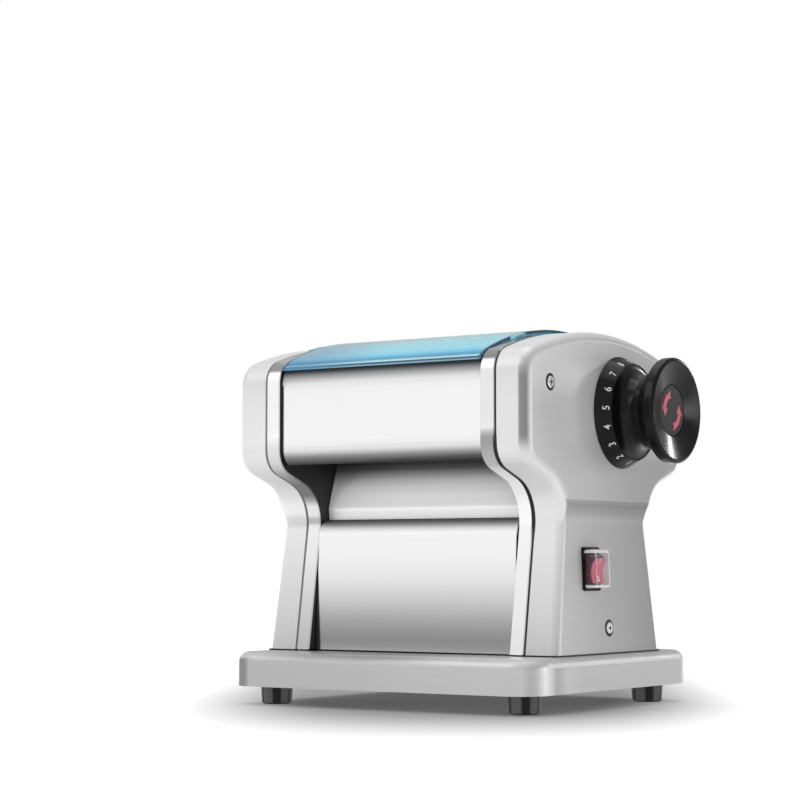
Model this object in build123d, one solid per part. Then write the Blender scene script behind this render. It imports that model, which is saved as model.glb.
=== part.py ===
from build123d import *

import os
from math import acos, atan2, cos, degrees, hypot, pi, radians, sin, sqrt, tan

# Electric pasta maker: a pair of press rollers in front, a pair of noodle cutters behind,
# both driven by a geared motor through a gear train under the left cover.
# Millimetres. X runs along the rollers with the thickness knob at +X, -Y is the front, +Z is up.

# ---------------------------------------------------------------- driving dimensions
# General fits
sheet = 1.5
seam = 0.3
slip = 0.05
press = 0.02
loose = 0.5

# Base tray and feet
base_width = 280.0
base_depth = 255.0
base_height = 26.6
base_corner = 25.7
base_round = 8.0
base_wall = 3.0
foot_height = 14.6
foot_top_radius = 12.7
foot_bottom_radius = 11.8
foot_spacing_x = 228.0
foot_spacing_y = 190.0
foot_screw_radius = 2.0
foot_screw_head = 4.0
foot_screw_head_height = 3.0
foot_screw_reach = 10.0
foot_boss_radius = 7.0
foot_edge = 1.2

# Side outline of the body, given for one half
flank_foot_y = 81.8
waist_corner_y = 63.3
waist_corner_z = 164.0
waist_round = 33.0
head_half_depth = 121.6
shoulder_z = 184.8
shoulder_round = 20.0
crown_z = 287.6
crown_radius = 330.0
crown_round = 20.0

# Side frames
throat_width = 185.5
frame_thickness = 12.3
frame_web = 5.0
frame_rim = 6.0
frame_edge = 0.8
boss_radius = 12.0
gasket_thickness = 1.2
gasket_width = 5.0
gasket_inset = 0.6

# Side covers
cover_depth = 28.3
cover_wall = 2.5
cover_waist_step = 3.8
cover_step_low_z = 142.0
cover_step_high_z = 157.0
cover_step_round = 11.0
cover_rim_round = 8.0
cover_head_screw_y = 88.0
cover_head_screw_z = 244.0
cover_foot_screw_z = 61.0
screw_recess_radius = 6.6
screw_recess_depth = 1.6
screw_head_radius = 5.0
screw_head_height = 2.6
screw_shank_radius = 2.5
screw_head_chamfer = 1.2
screw_cross_length = 5.2
screw_cross_width = 1.1
screw_cross_depth = 1.6
screw_post_radius = 7.0
left_top_screw_y = 18.0
left_top_screw_z = 262.0
left_waist_screw_y = 46.0
left_waist_screw_z = 148.0

# Press rollers
press_axis_z = 227.0
press_front_y = -78.0
press_radius = 23.0
press_gap = 0.5
press_travel = 2.7
roller_length = 179.0
press_journal = 7.0
bush_wall = 3.0
bush_flange = 1.2
bush_flange_reach = 2.0
roller_shoulder = 1.8
roller_collar = 2.0
roller_edge = 1.0
journal_setback = 2.0
scraper_gap = 0.4
rear_scraper_y = 19.0
rear_scraper_radius = 4.0

# Noodle cutters
cutter_front_y = 62.0
cutter_radius = 14.0
cutter_overlap = 1.0
cutter_core_radius = 11.5
noodle_width = 6.2
cutter_side_gap = 0.3
cutter_journal = 6.0
comb_side_gap = 0.4
comb_bar_width = 8.0
comb_bar_height = 6.0
comb_bar_y = -20.0
comb_bar_z = -18.0

# Gear train
press_teeth = 18
train_module = 2.2
drive_teeth = 30
large_teeth = 42
pinion_teeth = 12
transfer_teeth = 24
cutter_drive_teeth = 23
cutter_pair_teeth = 12
pressure_angle = 20.0
tooth_tip = 0.95
tooth_root = 1.25
backlash = 0.35
pair_gear_width = 7.0
train_gear_width = 9.0
gear_side_gap = 1.4
large_gear_drop = 40.0
pinion_y = -5.0
stud_radius = 6.0
stud_head_radius = 9.0
stud_head = 1.5
gear_hub_wall = 4.0
gear_web = 4.0
gear_rim = 5.0

# Thickness adjuster and knob
adjust_y = 20.0
adjust_radius = 5.0
adjust_step = 21.6
adjust_settings = 9
cam_radius = 14.0
cam_margin = 30.0
cam_clearance = 0.2
block_size = 24.0
block_nose = 10.0
block_hub_radius = 10.0
spring_room = 7.0
spring_leaf = 0.8
spring_margin = 2.0
index_groove_radius = 30.0
index_pin_radius = 2.0
index_groove_depth = 2.0
index_ring_height = 4.0
index_ring_radius = 36.0
index_ring_bore = 13.0
index_dimple_depth = 1.2
skirt_radius = 43.6
skirt_top_radius = 37.5
skirt_height = 12.0
skirt_wall = 2.5
neck_radius = 25.5
neck_round = 11.0
neck_length = 14.5
collar_radius = 29.5
collar_length = 3.6
head_radius = 40.7
rim_width = 8.2
rim_round = 2.4
rim_land = 3.0
knob_height = 48.6
knob_cap_radius = 19.6
knob_cap_thickness = 3.0
knob_dish = 4.6
knob_pull = 4.0
knob_hub_radius = 10.0
knob_floor = 26.5
knob_well_radius = 11.0
knob_spring_wire = 1.2
retainer_gap = 1.5
retainer_washer = 1.2
retainer_head_radius = 4.0
retainer_height = 1.7
retainer_seat = 2.0

# Rocker switch with its clear boot
switch_y = -26.0
switch_z = 106.0
switch_width = 25.0
switch_height = 33.0
switch_bezel = 2.0
switch_body_width = 22.0
switch_body_height = 28.0
switch_depth = 18.0
switch_well_width = 19.6
switch_well_height = 25.0
switch_well_depth = 12.0
rocker_throw = 16.0
rocker_gap = 0.4
rocker_end_gap = 1.0
rocker_rise = 3.0
rocker_pin_radius = 1.5
rocker_dip = 2.0
rocker_edge = 1.4
boot_width = 23.4
boot_height = 29.0
boot_rise = 9.5
boot_wall = 1.2
boot_round = 2.5

# Panels, chutes, deck and hood
panel_inset = 3.5
panel_gap = 0.75
head_panel_top_y = 105.0
rear_panel_top_y = 109.0
head_panel_bottom_z = 187.0
lower_panel_foot_y = 73.5
lower_panel_top_y = 69.0
lower_panel_top_z = 133.0
lower_panel_round = 10.8
lower_panel_tuck = 6.0
chute_top_y = 43.0
chute_top_z = 192.0
chute_lip_y = 55.7
chute_lip_z = 154.0
chute_lip_drop = 8.8
chute_lip_back = 1.0
chute_middle_y = 52.6
chute_middle_z = 165.0
deck_z = 258.0
deck_half_depth = 100.0
feed_slot_width = 36.0
cutter_slot_width = 26.0
feed_lip = 5.0
cutter_lip = 12.0
hood_thickness = 2.0
hood_crown_z = 291.6
hood_crown_radius = 282.0
hood_half_depth = 121.0
hood_front_round = 20.0
hood_front_z = 260.8
hood_rear_y = 97.4
hood_lip = 3.6
hood_lip_rise = 0.8
hood_panel_gap = 0.5
hood_rest_gap = 0.2
hood_ear = 4.2
hood_ear_inner_y = 62.0
hood_ear_outer_y = 78.0
hinge_y = 95.0
hinge_z = 268.0
hinge_barrel_radius = 4.2
hinge_web = 2.4
hinge_pin_radius = 2.5
hinge_pin_seat = 6.0
hinge_pin_reach = 6.0

# Tie rods between the frames
rod_radius = 5.0
rod_end_radius = 3.5
rod_nut_width = 11.0
rod_nut_height = 5.0
head_rod_y = 97.0
head_rod_z = 197.0
foot_rod_y = 56.0
foot_rod_z = 58.0
deck_rod_y = -4.0

# Motor, gearbox and cord inlet
motor_radius = 33.0
motor_length = 96.0
motor_bell = 14.0
motor_bell_step = 4.0
motor_bell_round = 4.0
motor_boss = 5.0
motor_boss_radius = 9.0
motor_z = 96.0
motor_y = 0.0
gearbox_width = 30.0
gearbox_depth = 70.0
gearbox_height = 78.0
gearbox_round = 10.0
gearbox_z = 100.0
gearbox_nose_radius = 11.0
motor_shaft_radius = 5.0
motor_shaft_seat = 14.0
cradle_width = 60.0
cradle_thickness = 4.0
cradle_foot = 12.0
cradle_reach = 0.8
cradle_lip = 0.5
gland_x = -52.0
gland_z = 66.0
gland_flange_radius = 11.0
gland_flange = 3.0
gland_bore_radius = 3.6
gland_reach = 12.0
gland_body_radius = 7.5
gland_seat = 0.8
vent_count = 9
vent_pitch = 9.0
vent_width = 3.4
vent_height = 26.0
vent_x = 28.0
vent_z = 88.0

# ---------------------------------------------------------------- derived places
base_top = foot_height + base_height
throat = throat_width / 2
web_outer = throat + frame_web
frame_outer = throat + frame_thickness
cover_inner = frame_outer + gasket_thickness
body_foot = base_top + gasket_thickness
cover_face = frame_outer + cover_depth
knob_base = cover_face + seam
knob_tip = knob_base + knob_height
centre_x = (knob_tip - base_width / 2) / 2
roller_end = roller_length / 2
press_rear_y = press_front_y + 2 * press_radius + press_gap
press_module = (press_rear_y - press_front_y) / press_teeth
cutter_rear_y = cutter_front_y + 2 * cutter_radius - cutter_overlap
cutter_module = (cutter_rear_y - cutter_front_y) / cutter_pair_teeth
cutter_pitch = 2 * (noodle_width + cutter_side_gap)
pair_x = -frame_outer - gear_side_gap
train_x = pair_x - pair_gear_width - gear_side_gap
stud_end = train_x - train_gear_width - loose
adjust_turn = adjust_step * (adjust_settings - 1)
press_bush_radius = press_journal + bush_wall
cutter_bush_radius = cutter_journal + bush_wall


# ---------------------------------------------------------------- general shapes
def rod(radius, x_from, x_to, y, z):
    """A round bar along X."""
    return Pos(x_from, y, z) * extrude(Plane.YZ * Circle(radius), x_to - x_from)


def block(x_from, x_to, y_from, y_to, z_from, z_to):
    """A rectangular block between its limits."""
    size = (x_to - x_from, y_to - y_from, z_to - z_from)
    return Pos(x_from, y_from, z_from) * Box(*size, align=(Align.MIN, Align.MIN, Align.MIN))


def slab(face, x_from, x_to):
    """A side-view face carried along X."""
    return Pos(x_from, 0, 0) * extrude(face, x_to - x_from)


def turned(points, rounds=()):
    """A piece turned about X from an outline of (x, radius) points, some of them rounded."""
    return revolve(round_corners(make_face(Polyline(*points, close=True)), rounds), Axis.X)


def mirrored(shape):
    """The same piece on the other side of the body."""
    return mirror(shape, Plane.YZ)


def save(name, shape):
    """Writes one node, with the origin under the middle of the whole machine."""
    export_step(Pos(-centre_x, 0, 0) * shape, f"parts/{name}.step")


# ---------------------------------------------------------------- side outline
def round_corners(face, rounds):
    """Rounds the corners of a flat face that lie at the given points: (point, radius)."""
    for point, radius in rounds:
        corner = [v for v in face.vertices() if (Vector(v) - Vector(*point)).length < 0.01]
        face = fillet(corner, radius)
    return face


def side_outline(inset=0.0):
    """Side view of the body: leaning flanks, a waist, a bulging head and an arched crown."""
    crown_corner_z = crown_z - crown_radius + sqrt(crown_radius**2 - head_half_depth**2)
    half = [
        (flank_foot_y, body_foot),
        (waist_corner_y, waist_corner_z),
        (head_half_depth, shoulder_z),
        (head_half_depth, crown_corner_z),
    ]
    rounds = [0, waist_round, shoulder_round, crown_round]
    other = [(-y, z) for y, z in half]
    crown = ThreePointArc(half[-1], (0, crown_z), other[-1])
    face = make_face([Polyline(*half), crown, Polyline(*reversed(other)), Line(other[0], half[0])])
    face = round_corners(face, list(zip(half, rounds))[1:] + list(zip(other, rounds))[1:])
    if inset:
        face = offset(face, amount=-inset)
    return Plane.YZ * face


def region(y_from, y_to, z_from, z_to):
    """A rectangle in the side view, used to keep one stretch of an outline."""
    middle = ((y_from + y_to) / 2, (z_from + z_to) / 2)
    return Plane.YZ * Pos(*middle) * Rectangle(y_to - y_from, z_to - z_from)


def bent_sheet(points, bend, half_width, thickness=sheet):
    """Sheet metal bent to a side-view line of (Y, Z) points and as wide as the throat."""
    line = FilletPolyline(*points, radius=bend)
    return slab(Plane.YZ * trace(line, line_width=thickness), -half_width, half_width)


# ---------------------------------------------------------------- base
def foot_places():
    return GridLocations(foot_spacing_x, foot_spacing_y, 2, 2).locations


def upright(radius, height, z_from=0.0):
    """A round bar standing on the given height."""
    return Pos(0, 0, z_from) * Cylinder(radius, height, align=(Align.CENTER, Align.CENTER, Align.MIN))


def base_tray():
    """Pressed tray, open below, with a boss over each foot."""
    outer = extrude(RectangleRounded(base_width, base_depth, base_corner), base_height)
    outer = fillet(outer.faces().sort_by(Axis.Z)[-1].edges(), base_round)
    width = base_width - 2 * base_wall
    depth = base_depth - 2 * base_wall
    hollow = RectangleRounded(width, depth, base_corner - base_wall)
    cavity = extrude(hollow, base_height - base_wall)
    cavity = fillet(cavity.faces().sort_by(Axis.Z)[-1].edges(), base_round - base_wall)
    tray = Pos(0, 0, foot_height) * (outer - cavity)
    seat = foot_height + sheet
    for place in foot_places():
        tray += place * upright(foot_boss_radius, base_top - base_wall / 2 - seat, seat)
        tray -= place * upright(foot_screw_radius + press, foot_screw_reach + 1, seat)
    return tray


def base_plate():
    """Flat cover under the tray, held by the foot screws."""
    edge = base_wall + seam
    flat = RectangleRounded(base_width - 2 * edge, base_depth - 2 * edge, base_corner - edge)
    plate = Pos(0, 0, foot_height) * extrude(flat, sheet)
    for place in foot_places():
        plate -= place * upright(foot_screw_radius + slip, 2 * sheet, foot_height - sheet / 2)
    return plate


def foot():
    """Round rubber foot with a recess for its screw head."""
    body = loft([Circle(foot_bottom_radius), Pos(0, 0, foot_height) * Circle(foot_top_radius)])
    body = chamfer(body.faces().sort_by(Axis.Z)[0].edges(), foot_edge)
    recess = upright(foot_screw_head + loose, foot_height / 2, 0)
    return body - recess - upright(foot_screw_radius + slip, foot_height)


def foot_screw():
    """Pan-head screw that runs up through a foot into the tray."""
    seat = foot_height / 2
    shank = upright(foot_screw_radius, seat + sheet + foot_screw_reach, seat)
    return upright(foot_screw_head, foot_screw_head_height, seat - foot_screw_head_height) + shank


# ---------------------------------------------------------------- gear train geometry
def involute(angle):
    return tan(angle) - angle


def half_tooth(teeth, module, radius):
    """Half of a tooth's angle at a radius, thinned for backlash."""
    pitch = module * teeth / 2
    base = pitch * cos(radians(pressure_angle))
    at_pitch = pi / (2 * teeth) - backlash / (4 * pitch)
    lean = involute(radians(pressure_angle)) - involute(acos(min(1.0, base / radius)))
    return at_pitch + lean


def gear_outline(teeth, module, phase):
    """Side view of a spur gear with one tooth centred on the phase angle."""
    tip = module * (teeth / 2 + tooth_tip)
    root = module * (teeth / 2 - tooth_root)
    tip_half = half_tooth(teeth, module, tip)
    root_half = half_tooth(teeth, module, max(root, module * teeth / 2 * cos(radians(pressure_angle))))
    points = []
    for tooth in range(teeth):
        middle = radians(phase) + 2 * pi * tooth / teeth
        for radius, side in [(root, -root_half), (tip, -tip_half), (tip, tip_half), (root, root_half)]:
            points.append((radius * cos(middle + side), radius * sin(middle + side)))
    return Plane.YZ * make_face(Polyline(*points, close=True))


def heading(start, end):
    """Direction from one axis to another in the side view, in degrees."""
    return degrees(atan2(end[1] - start[1], end[0] - start[0]))


def meshed_phase(teeth, phase, place, next_teeth, next_place):
    """Phase that sets a gap of the next gear on a tooth of this one."""
    toward = heading(place, next_place)
    return toward + 180 - teeth / next_teeth * (phase - toward) - 180 / next_teeth


def centre_distance(teeth, next_teeth):
    return train_module * (teeth + next_teeth) / 2


def press_place():
    return (press_front_y, press_axis_z)


def press_rear_place():
    return (press_rear_y, press_axis_z)


def cutter_place():
    return (cutter_front_y, press_axis_z)


def cutter_rear_place():
    return (cutter_rear_y, press_axis_z)


def adjust_place():
    return (adjust_y, press_axis_z)


def large_gear_place():
    """The large gear lies below and behind the front press roller."""
    reach = centre_distance(drive_teeth, large_teeth)
    drop = radians(large_gear_drop)
    return (press_front_y + reach * cos(drop), press_axis_z - reach * sin(drop))


def pinion_place():
    y, z = large_gear_place()
    reach = centre_distance(large_teeth, pinion_teeth)
    return (pinion_y, z - sqrt(reach**2 - (pinion_y - y) ** 2))


def transfer_place():
    """The transfer gear touches both the large gear and the rear cutter's gear, on the low side."""
    start, end = large_gear_place(), cutter_rear_place()
    near_reach = centre_distance(large_teeth, transfer_teeth)
    far_reach = centre_distance(transfer_teeth, cutter_drive_teeth)
    span = hypot(end[0] - start[0], end[1] - start[1])
    along = (near_reach**2 - far_reach**2 + span**2) / (2 * span)
    aside = sqrt(near_reach**2 - along**2)
    way = radians(heading(start, end))
    y = start[0] + along * cos(way) + aside * sin(way)
    z = start[1] + along * sin(way) - aside * cos(way)
    return (y, z)


# ---------------------------------------------------------------- frames
def frame_shafts():
    """Shaft holes that both frames share: (bush radius, place)."""
    return [
        (press_bush_radius, press_place()),
        (cutter_bush_radius, cutter_place()),
        (cutter_bush_radius, cutter_rear_place()),
    ]


def rod_places():
    return [
        (-head_rod_y, head_rod_z),
        (head_rod_y, head_rod_z),
        (-foot_rod_y, foot_rod_z),
        (foot_rod_y, foot_rod_z),
        (deck_rod_y, deck_z - sheet - rod_radius),
    ]


def right_screw_places():
    return [
        (-cover_head_screw_y, cover_head_screw_z),
        (cover_head_screw_y, cover_head_screw_z),
        (0, cover_foot_screw_z),
    ]


def left_screw_places():
    """Between the gears, where their posts have room."""
    return [
        (left_top_screw_y, left_top_screw_z),
        (left_waist_screw_y, left_waist_screw_z),
        (0, cover_foot_screw_z),
    ]


def block_window():
    """Window that the sliding bearing block runs in, with room for its spring in front."""
    half = block_size / 2 + slip
    y_from = press_rear_y - block_size / 2 - spring_room
    y_to = press_rear_y + block_size / 2 + press_travel + loose
    return (y_from, y_to, press_axis_z - half, press_axis_z + half)


def frame(screw_places, stud_places):
    """Side frame, on the right: a cast web with a polished rim, hollow towards its cover."""
    body = slab(side_outline(), throat, frame_outer)
    sides = body.faces().filter_by(Axis.X)
    body = chamfer(sides.edges(), frame_edge)
    pocket = slab(side_outline(frame_rim), web_outer, frame_outer + 1)
    for y, z in [place for _, place in frame_shafts()] + stud_places:
        pocket -= rod(boss_radius, throat, frame_outer + 1, y, z)
    for y, z in screw_places:
        pocket -= rod(screw_post_radius, throat, frame_outer + 1, y, z)
    body -= pocket
    for radius, (y, z) in frame_shafts():
        body -= rod(radius + press, throat - 1, frame_outer + 1, y, z)
    for y, z in stud_places:
        body -= rod(stud_radius + press, throat - 1, frame_outer + 1, y, z)
    for y, z in screw_places:
        body -= rod(screw_shank_radius + press, web_outer, frame_outer + 1, y, z)
    body -= block(throat - 1, frame_outer + 1, *block_window())
    body -= rod(adjust_radius + slip, throat - 1, frame_outer + 1, *adjust_place())
    for y, z in rod_places():
        body -= rod(rod_end_radius + slip, throat - 1, web_outer + 1, y, z)
    return body - rod(hinge_pin_radius + press, throat - 1, throat + hinge_pin_seat, hinge_y, hinge_z)


def frame_left():
    """Left frame: also carries the idler studs and lets the gearbox's nose through."""
    body = frame(left_screw_places(), [large_gear_place(), transfer_place()])
    return mirrored(body - rod(gearbox_nose_radius + slip, throat - 1, frame_outer + 1, *pinion_place()))


def frame_right():
    return frame(right_screw_places(), [])


# ---------------------------------------------------------------- covers
def cover_slope():
    """Lean of the lower outer face, as a rise in X per millimetre of height."""
    return cover_waist_step / (cover_step_low_z - base_top)


def cover_face_x(z):
    """Outer face of a cover at a height below the waist step or on the head."""
    if z > cover_step_high_z:
        return cover_face
    return cover_face - cover_slope() * (z - base_top)


def cover_solid(inset, x_to, rim_round):
    """Solid of a right-hand cover: the side outline cut by the stepped outer face."""
    profile = [
        (throat, base_top - 1),
        (x_to + cover_slope(), base_top - 1),
        (x_to - cover_waist_step, cover_step_low_z),
        (x_to, cover_step_high_z),
        (x_to, crown_z + 1),
        (throat, crown_z + 1),
    ]
    bends = [(profile[2], cover_step_round), (profile[3], cover_step_round)]
    face = Plane.XZ * round_corners(make_face(Polyline(*profile, close=True)), bends)
    across = Pos(0, base_depth / 2, 0) * extrude(face, base_depth)
    solid = slab(side_outline(inset), cover_inner, x_to + cover_slope()) & across
    return fillet(outer_rim(solid, x_to), rim_round)


def outer_rim(solid, x_to):
    """Edges where the outer face meets the wall round it, without the foot and the cross lines."""
    found = []
    for edge in solid.edges():
        box = edge.bounding_box()
        crosses = box.max.Y - box.min.Y > waist_corner_y and box.max.Z < crown_z - crown_round
        if box.min.X > x_to - cover_waist_step - 1 and box.max.Z > base_top + base_height and not crosses:
            found.append(edge)
    return found


def cover(screw_places):
    """Cover shell on the right, open towards the frame, with a post for each screw."""
    shell = cover_solid(0, cover_face, cover_rim_round)
    shell -= cover_solid(cover_wall, cover_face - cover_wall, cover_rim_round - cover_wall)
    for y, z in screw_places:
        floor_x = cover_face_x(z) - screw_recess_depth
        shell += rod(screw_post_radius, cover_inner, floor_x, y, z)
        shell -= rod(screw_shank_radius + slip, cover_inner - 1, floor_x + 1, y, z)
        shell -= rod(screw_recess_radius, floor_x, cover_face + 1, y, z)
    return shell


def cover_right():
    """Right cover, with openings for the adjuster's shaft and the switch."""
    shell = cover(right_screw_places())
    shell -= rod(adjust_radius + loose, cover_inner, cover_face + 1, *adjust_place())
    window = Box(4 * cover_wall, switch_body_width + 2 * slip, switch_body_height + 2 * slip)
    return shell - switch_seat() * window


def cover_screws():
    screws = []
    for side, places in [(1, right_screw_places()), (-1, left_screw_places())]:
        for y, z in places:
            floor_x = cover_face_x(z) - screw_recess_depth
            top_x = floor_x + screw_head_height
            head = rod(screw_head_radius, floor_x, top_x, y, z)
            head = chamfer(head.faces().sort_by(Axis.X)[-1].edges(), screw_head_chamfer)
            slot = Box(2 * screw_cross_depth, screw_cross_width, screw_cross_length)
            for turn in (0, 90):
                head -= Pos(top_x, y, z) * Rot(turn, 0, 0) * slot
            screw = head + rod(screw_shank_radius, web_outer + frame_edge, floor_x, y, z)
            screws.append(screw if side > 0 else mirrored(screw))
    return Compound(screws)


def cover_gaskets():
    """Black strip between each frame and its cover, standing just back from their edges."""
    ring = side_outline(gasket_inset) - side_outline(gasket_width)
    strip = slab(ring, frame_outer, cover_inner)
    return Compound([strip, mirrored(strip)])


def body_gaskets():
    """Black strip between the tray and the foot of each frame and cover."""
    flat = region(gasket_inset - flank_foot_y, flank_foot_y - gasket_inset, base_top, body_foot)
    strip = slab(flat, throat + gasket_inset, cover_face - gasket_inset)
    return Compound([strip, mirrored(strip)])


# ---------------------------------------------------------------- tie rods
def tie_rods():
    rods = []
    for y, z in rod_places():
        bar = rod(rod_radius, -throat, throat, y, z)
        bar += rod(rod_end_radius, -web_outer - rod_nut_height - 1, web_outer + rod_nut_height + 1, y, z)
        rods.append(bar)
    return Compound(rods)


def tie_rod_nuts():
    nuts = []
    for y, z in rod_places():
        flat = RegularPolygon(rod_nut_width / 2, 6, major_radius=False) - Circle(rod_end_radius + slip)
        nut = Pos(web_outer, y, z) * extrude(Plane.YZ * flat, rod_nut_height)
        nuts += [nut, mirrored(nut)]
    return Compound(nuts)


# ---------------------------------------------------------------- press rollers
def press_roller(y, left_end):
    """Ground steel roller with a journal at each end and a longer one on the gear side."""
    shoulder = roller_end + roller_shoulder
    right_end = frame_outer - journal_setback
    collar = press_journal + roller_collar
    outline = [
        (left_end, 0),
        (left_end, press_journal),
        (-shoulder, press_journal),
        (-shoulder, collar),
        (-roller_end, collar),
        (-roller_end, press_radius - roller_edge),
        (-roller_end + roller_edge, press_radius),
        (roller_end - roller_edge, press_radius),
        (roller_end, press_radius - roller_edge),
        (roller_end, collar),
        (shoulder, collar),
        (shoulder, press_journal),
        (right_end, press_journal),
        (right_end, 0),
    ]
    return Pos(0, y, press_axis_z) * turned(outline)


def flanged_bush(bore, radius, y, z):
    """Bush in the right frame with its flange on the inner side."""
    body = rod(radius, throat, frame_outer, y, z)
    body += rod(radius + bush_flange_reach, throat - bush_flange, throat, y, z)
    return body - rod(bore + slip, throat - 2 * bush_flange, frame_outer + 1, y, z)


def bushes(journal, radius, places):
    right = [flanged_bush(journal, radius, y, z) for y, z in places]
    return Compound(right + [mirrored(bush) for bush in right])


def bearing_block():
    """Sliding block of the rear press roller, with a nose that follows the cam."""
    half = block_size / 2
    x_from = throat + slip
    x_to = frame_outer - seam
    z_limits = (press_axis_z - half, press_axis_z + half)
    body = block(x_from, x_to, press_rear_y - half, press_rear_y + half, *z_limits)
    nose_tip = adjust_y - cam_radius - cam_clearance
    nose = (press_rear_y + half, nose_tip, press_axis_z - block_nose / 2, press_axis_z + block_nose / 2)
    body += block(web_outer + loose, x_to, *nose)
    body += rod(block_hub_radius, block_hub_x(), x_from, *press_rear_place())
    return body - rod(press_journal + slip, block_hub_x() - 1, x_to + 1, *press_rear_place())


def block_hub_x():
    return roller_end + roller_shoulder + slip


def block_spring():
    """Bowed leaf that pushes a bearing block back against its cam."""
    y_from, _, z_from, z_to = block_window()
    y_to = press_rear_y - block_size / 2
    foot_y = y_from + spring_leaf / 2
    low = (foot_y, z_from + spring_margin)
    high = (foot_y, z_to - spring_margin)
    bow = ThreePointArc(low, (y_to - spring_leaf, press_axis_z), high)
    leaf = Plane.YZ * trace(bow, line_width=spring_leaf)
    return slab(leaf, throat + spring_margin, frame_outer - spring_margin)


def front_scraper():
    """Blade on the front tie rod that keeps the dough off the front press roller."""
    y, z = -head_rod_y, head_rod_z
    bar = rod(rod_radius + sheet, -roller_end, roller_end, y, z)
    return bar + scraper_blade((y, z), press_place()) - rod(rod_radius + slip, -throat, throat, y, z)


def scraper_blade(start, roller_place):
    """Thin blade from a bar towards a press roller, ending just short of it."""
    length = hypot(roller_place[0] - start[0], roller_place[1] - start[1])
    strip = Pos(length / 2, 0) * Rectangle(length, sheet)
    blade = Plane.YZ * Pos(*start) * Rot(0, 0, heading(start, roller_place)) * strip
    blade = slab(blade, -roller_end + 1, roller_end - 1)
    return blade - rod(press_radius + scraper_gap, -throat, throat, *roller_place)


def rear_scraper():
    """Blade under the rear press roller, hung from the bearing blocks so that it moves with it."""
    place = (press_rear_y + rear_scraper_y, head_rod_z)
    bar = rod(rear_scraper_radius, -block_hub_x(), block_hub_x(), *place)
    ends = Pos(*press_rear_place()) * Circle(block_hub_radius) + Pos(*place) * Circle(rear_scraper_radius)
    arm = slab(Plane.YZ * make_hull(ends.edges()), roller_end + loose, block_hub_x())
    arm -= rod(press_journal + roller_collar + loose, roller_end, throat, *press_rear_place())
    return bar + scraper_blade(place, press_rear_place()) + arm + mirrored(arm)


# ---------------------------------------------------------------- noodle cutters
def cutter_roller(y, first_ring, rings, left_end):
    """Grooved roller, turned in one profile: rings stand over a thinner core."""
    right_end = frame_outer - journal_setback
    outline = [
        (left_end, 0),
        (left_end, cutter_journal),
        (-roller_end, cutter_journal),
        (-roller_end, cutter_core_radius),
    ]
    for ring in range(rings):
        middle = first_ring + ring * cutter_pitch
        edges = (middle - noodle_width / 2, middle + noodle_width / 2)
        outline += [(edges[0], cutter_core_radius), (edges[0], cutter_radius)]
        outline += [(edges[1], cutter_radius), (edges[1], cutter_core_radius)]
    outline += [
        (roller_end, cutter_core_radius),
        (roller_end, cutter_journal),
        (right_end, cutter_journal),
        (right_end, 0),
    ]
    return Pos(0, y, press_axis_z) * turned(outline)


def front_rings():
    """Number of rings on the front cutter; the rear one has one more, set half a pitch over."""
    return 2 * int((roller_end - noodle_width) / cutter_pitch) + 1


def cutter_comb(teeth):
    """Comb of the front cutter: a bar across the throat with a tooth in every groove."""
    bar_limits, tooth_points = comb_shapes()
    bar = block(-throat, throat, *bar_limits)
    tooth_width = cutter_pitch - noodle_width - 2 * comb_side_gap
    outline = Plane.YZ * make_face(Polyline(*tooth_points, close=True))
    outline = Pos(0, cutter_front_y, press_axis_z) * outline
    comb = Pos(0, cutter_front_y, press_axis_z) * bar
    for tooth in range(teeth):
        middle = (tooth - (teeth - 1) / 2) * cutter_pitch
        comb += slab(outline, middle - tooth_width / 2, middle + tooth_width / 2)
    return comb - rod(cutter_core_radius + comb_side_gap, -throat, throat, *cutter_place())


def cutter_comb_rear(teeth):
    """The same comb, turned round to the rear cutter."""
    nip = (cutter_front_y + cutter_rear_y) / 2
    return mirror(cutter_comb(teeth), Plane.XZ.offset(-nip))


def comb_shapes():
    """Bar and tooth of the front comb in the side view, measured from the cutter's axis."""
    bar = (comb_bar_y, comb_bar_y + comb_bar_width, comb_bar_z - comb_bar_height, comb_bar_z)
    top = -cutter_core_radius + 2
    tooth = [
        (comb_bar_y + 2, comb_bar_z - comb_bar_height),
        (comb_bar_y + 2, comb_bar_z),
        (-cutter_radius, top - 1),
        (0, top),
        (comb_bar_width / 2, top - 4),
        (-cutter_radius / 2, comb_bar_z - comb_bar_height / 2),
    ]
    return bar, tooth


# ---------------------------------------------------------------- gears
def gear(teeth, module, phase, place, x_to, width, bore):
    """Spur gear with a hub and, where it is large enough, a thinner web with round holes."""
    y, z = place
    body = Pos(0, y, z) * slab(gear_outline(teeth, module, phase), x_to - width, x_to)
    rim = module * (teeth / 2 - tooth_root) - gear_rim
    hub = bore + gear_hub_wall
    if rim - hub > 2 * gear_rim:
        ring = Plane.YZ * (Circle(rim) - Circle(hub))
        recess = (width - gear_web) / 2
        ring = Pos(0, y, z) * ring
        body -= slab(ring, x_to - recess, x_to) + slab(ring, x_to - width, x_to - width + recess)
        hole = (rim - hub) / 2 - 2
        for spot in PolarLocations((rim + hub) / 2, 5, phase):
            body -= Pos(0, y, z) * slab(Plane.YZ * spot * Circle(hole), x_to - width, x_to)
    return body - rod(bore, x_to - width - 1, x_to + 1, y, z)


def press_pair():
    """The two equal gears that couple the press rollers."""
    front = 0.0
    rear = meshed_phase(press_teeth, front, press_place(), press_teeth, press_rear_place())
    bore = press_journal + press
    places = [(front, press_place()), (rear, press_rear_place())]
    return [gear(press_teeth, press_module, *row, pair_x, pair_gear_width, bore) for row in places]


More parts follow.
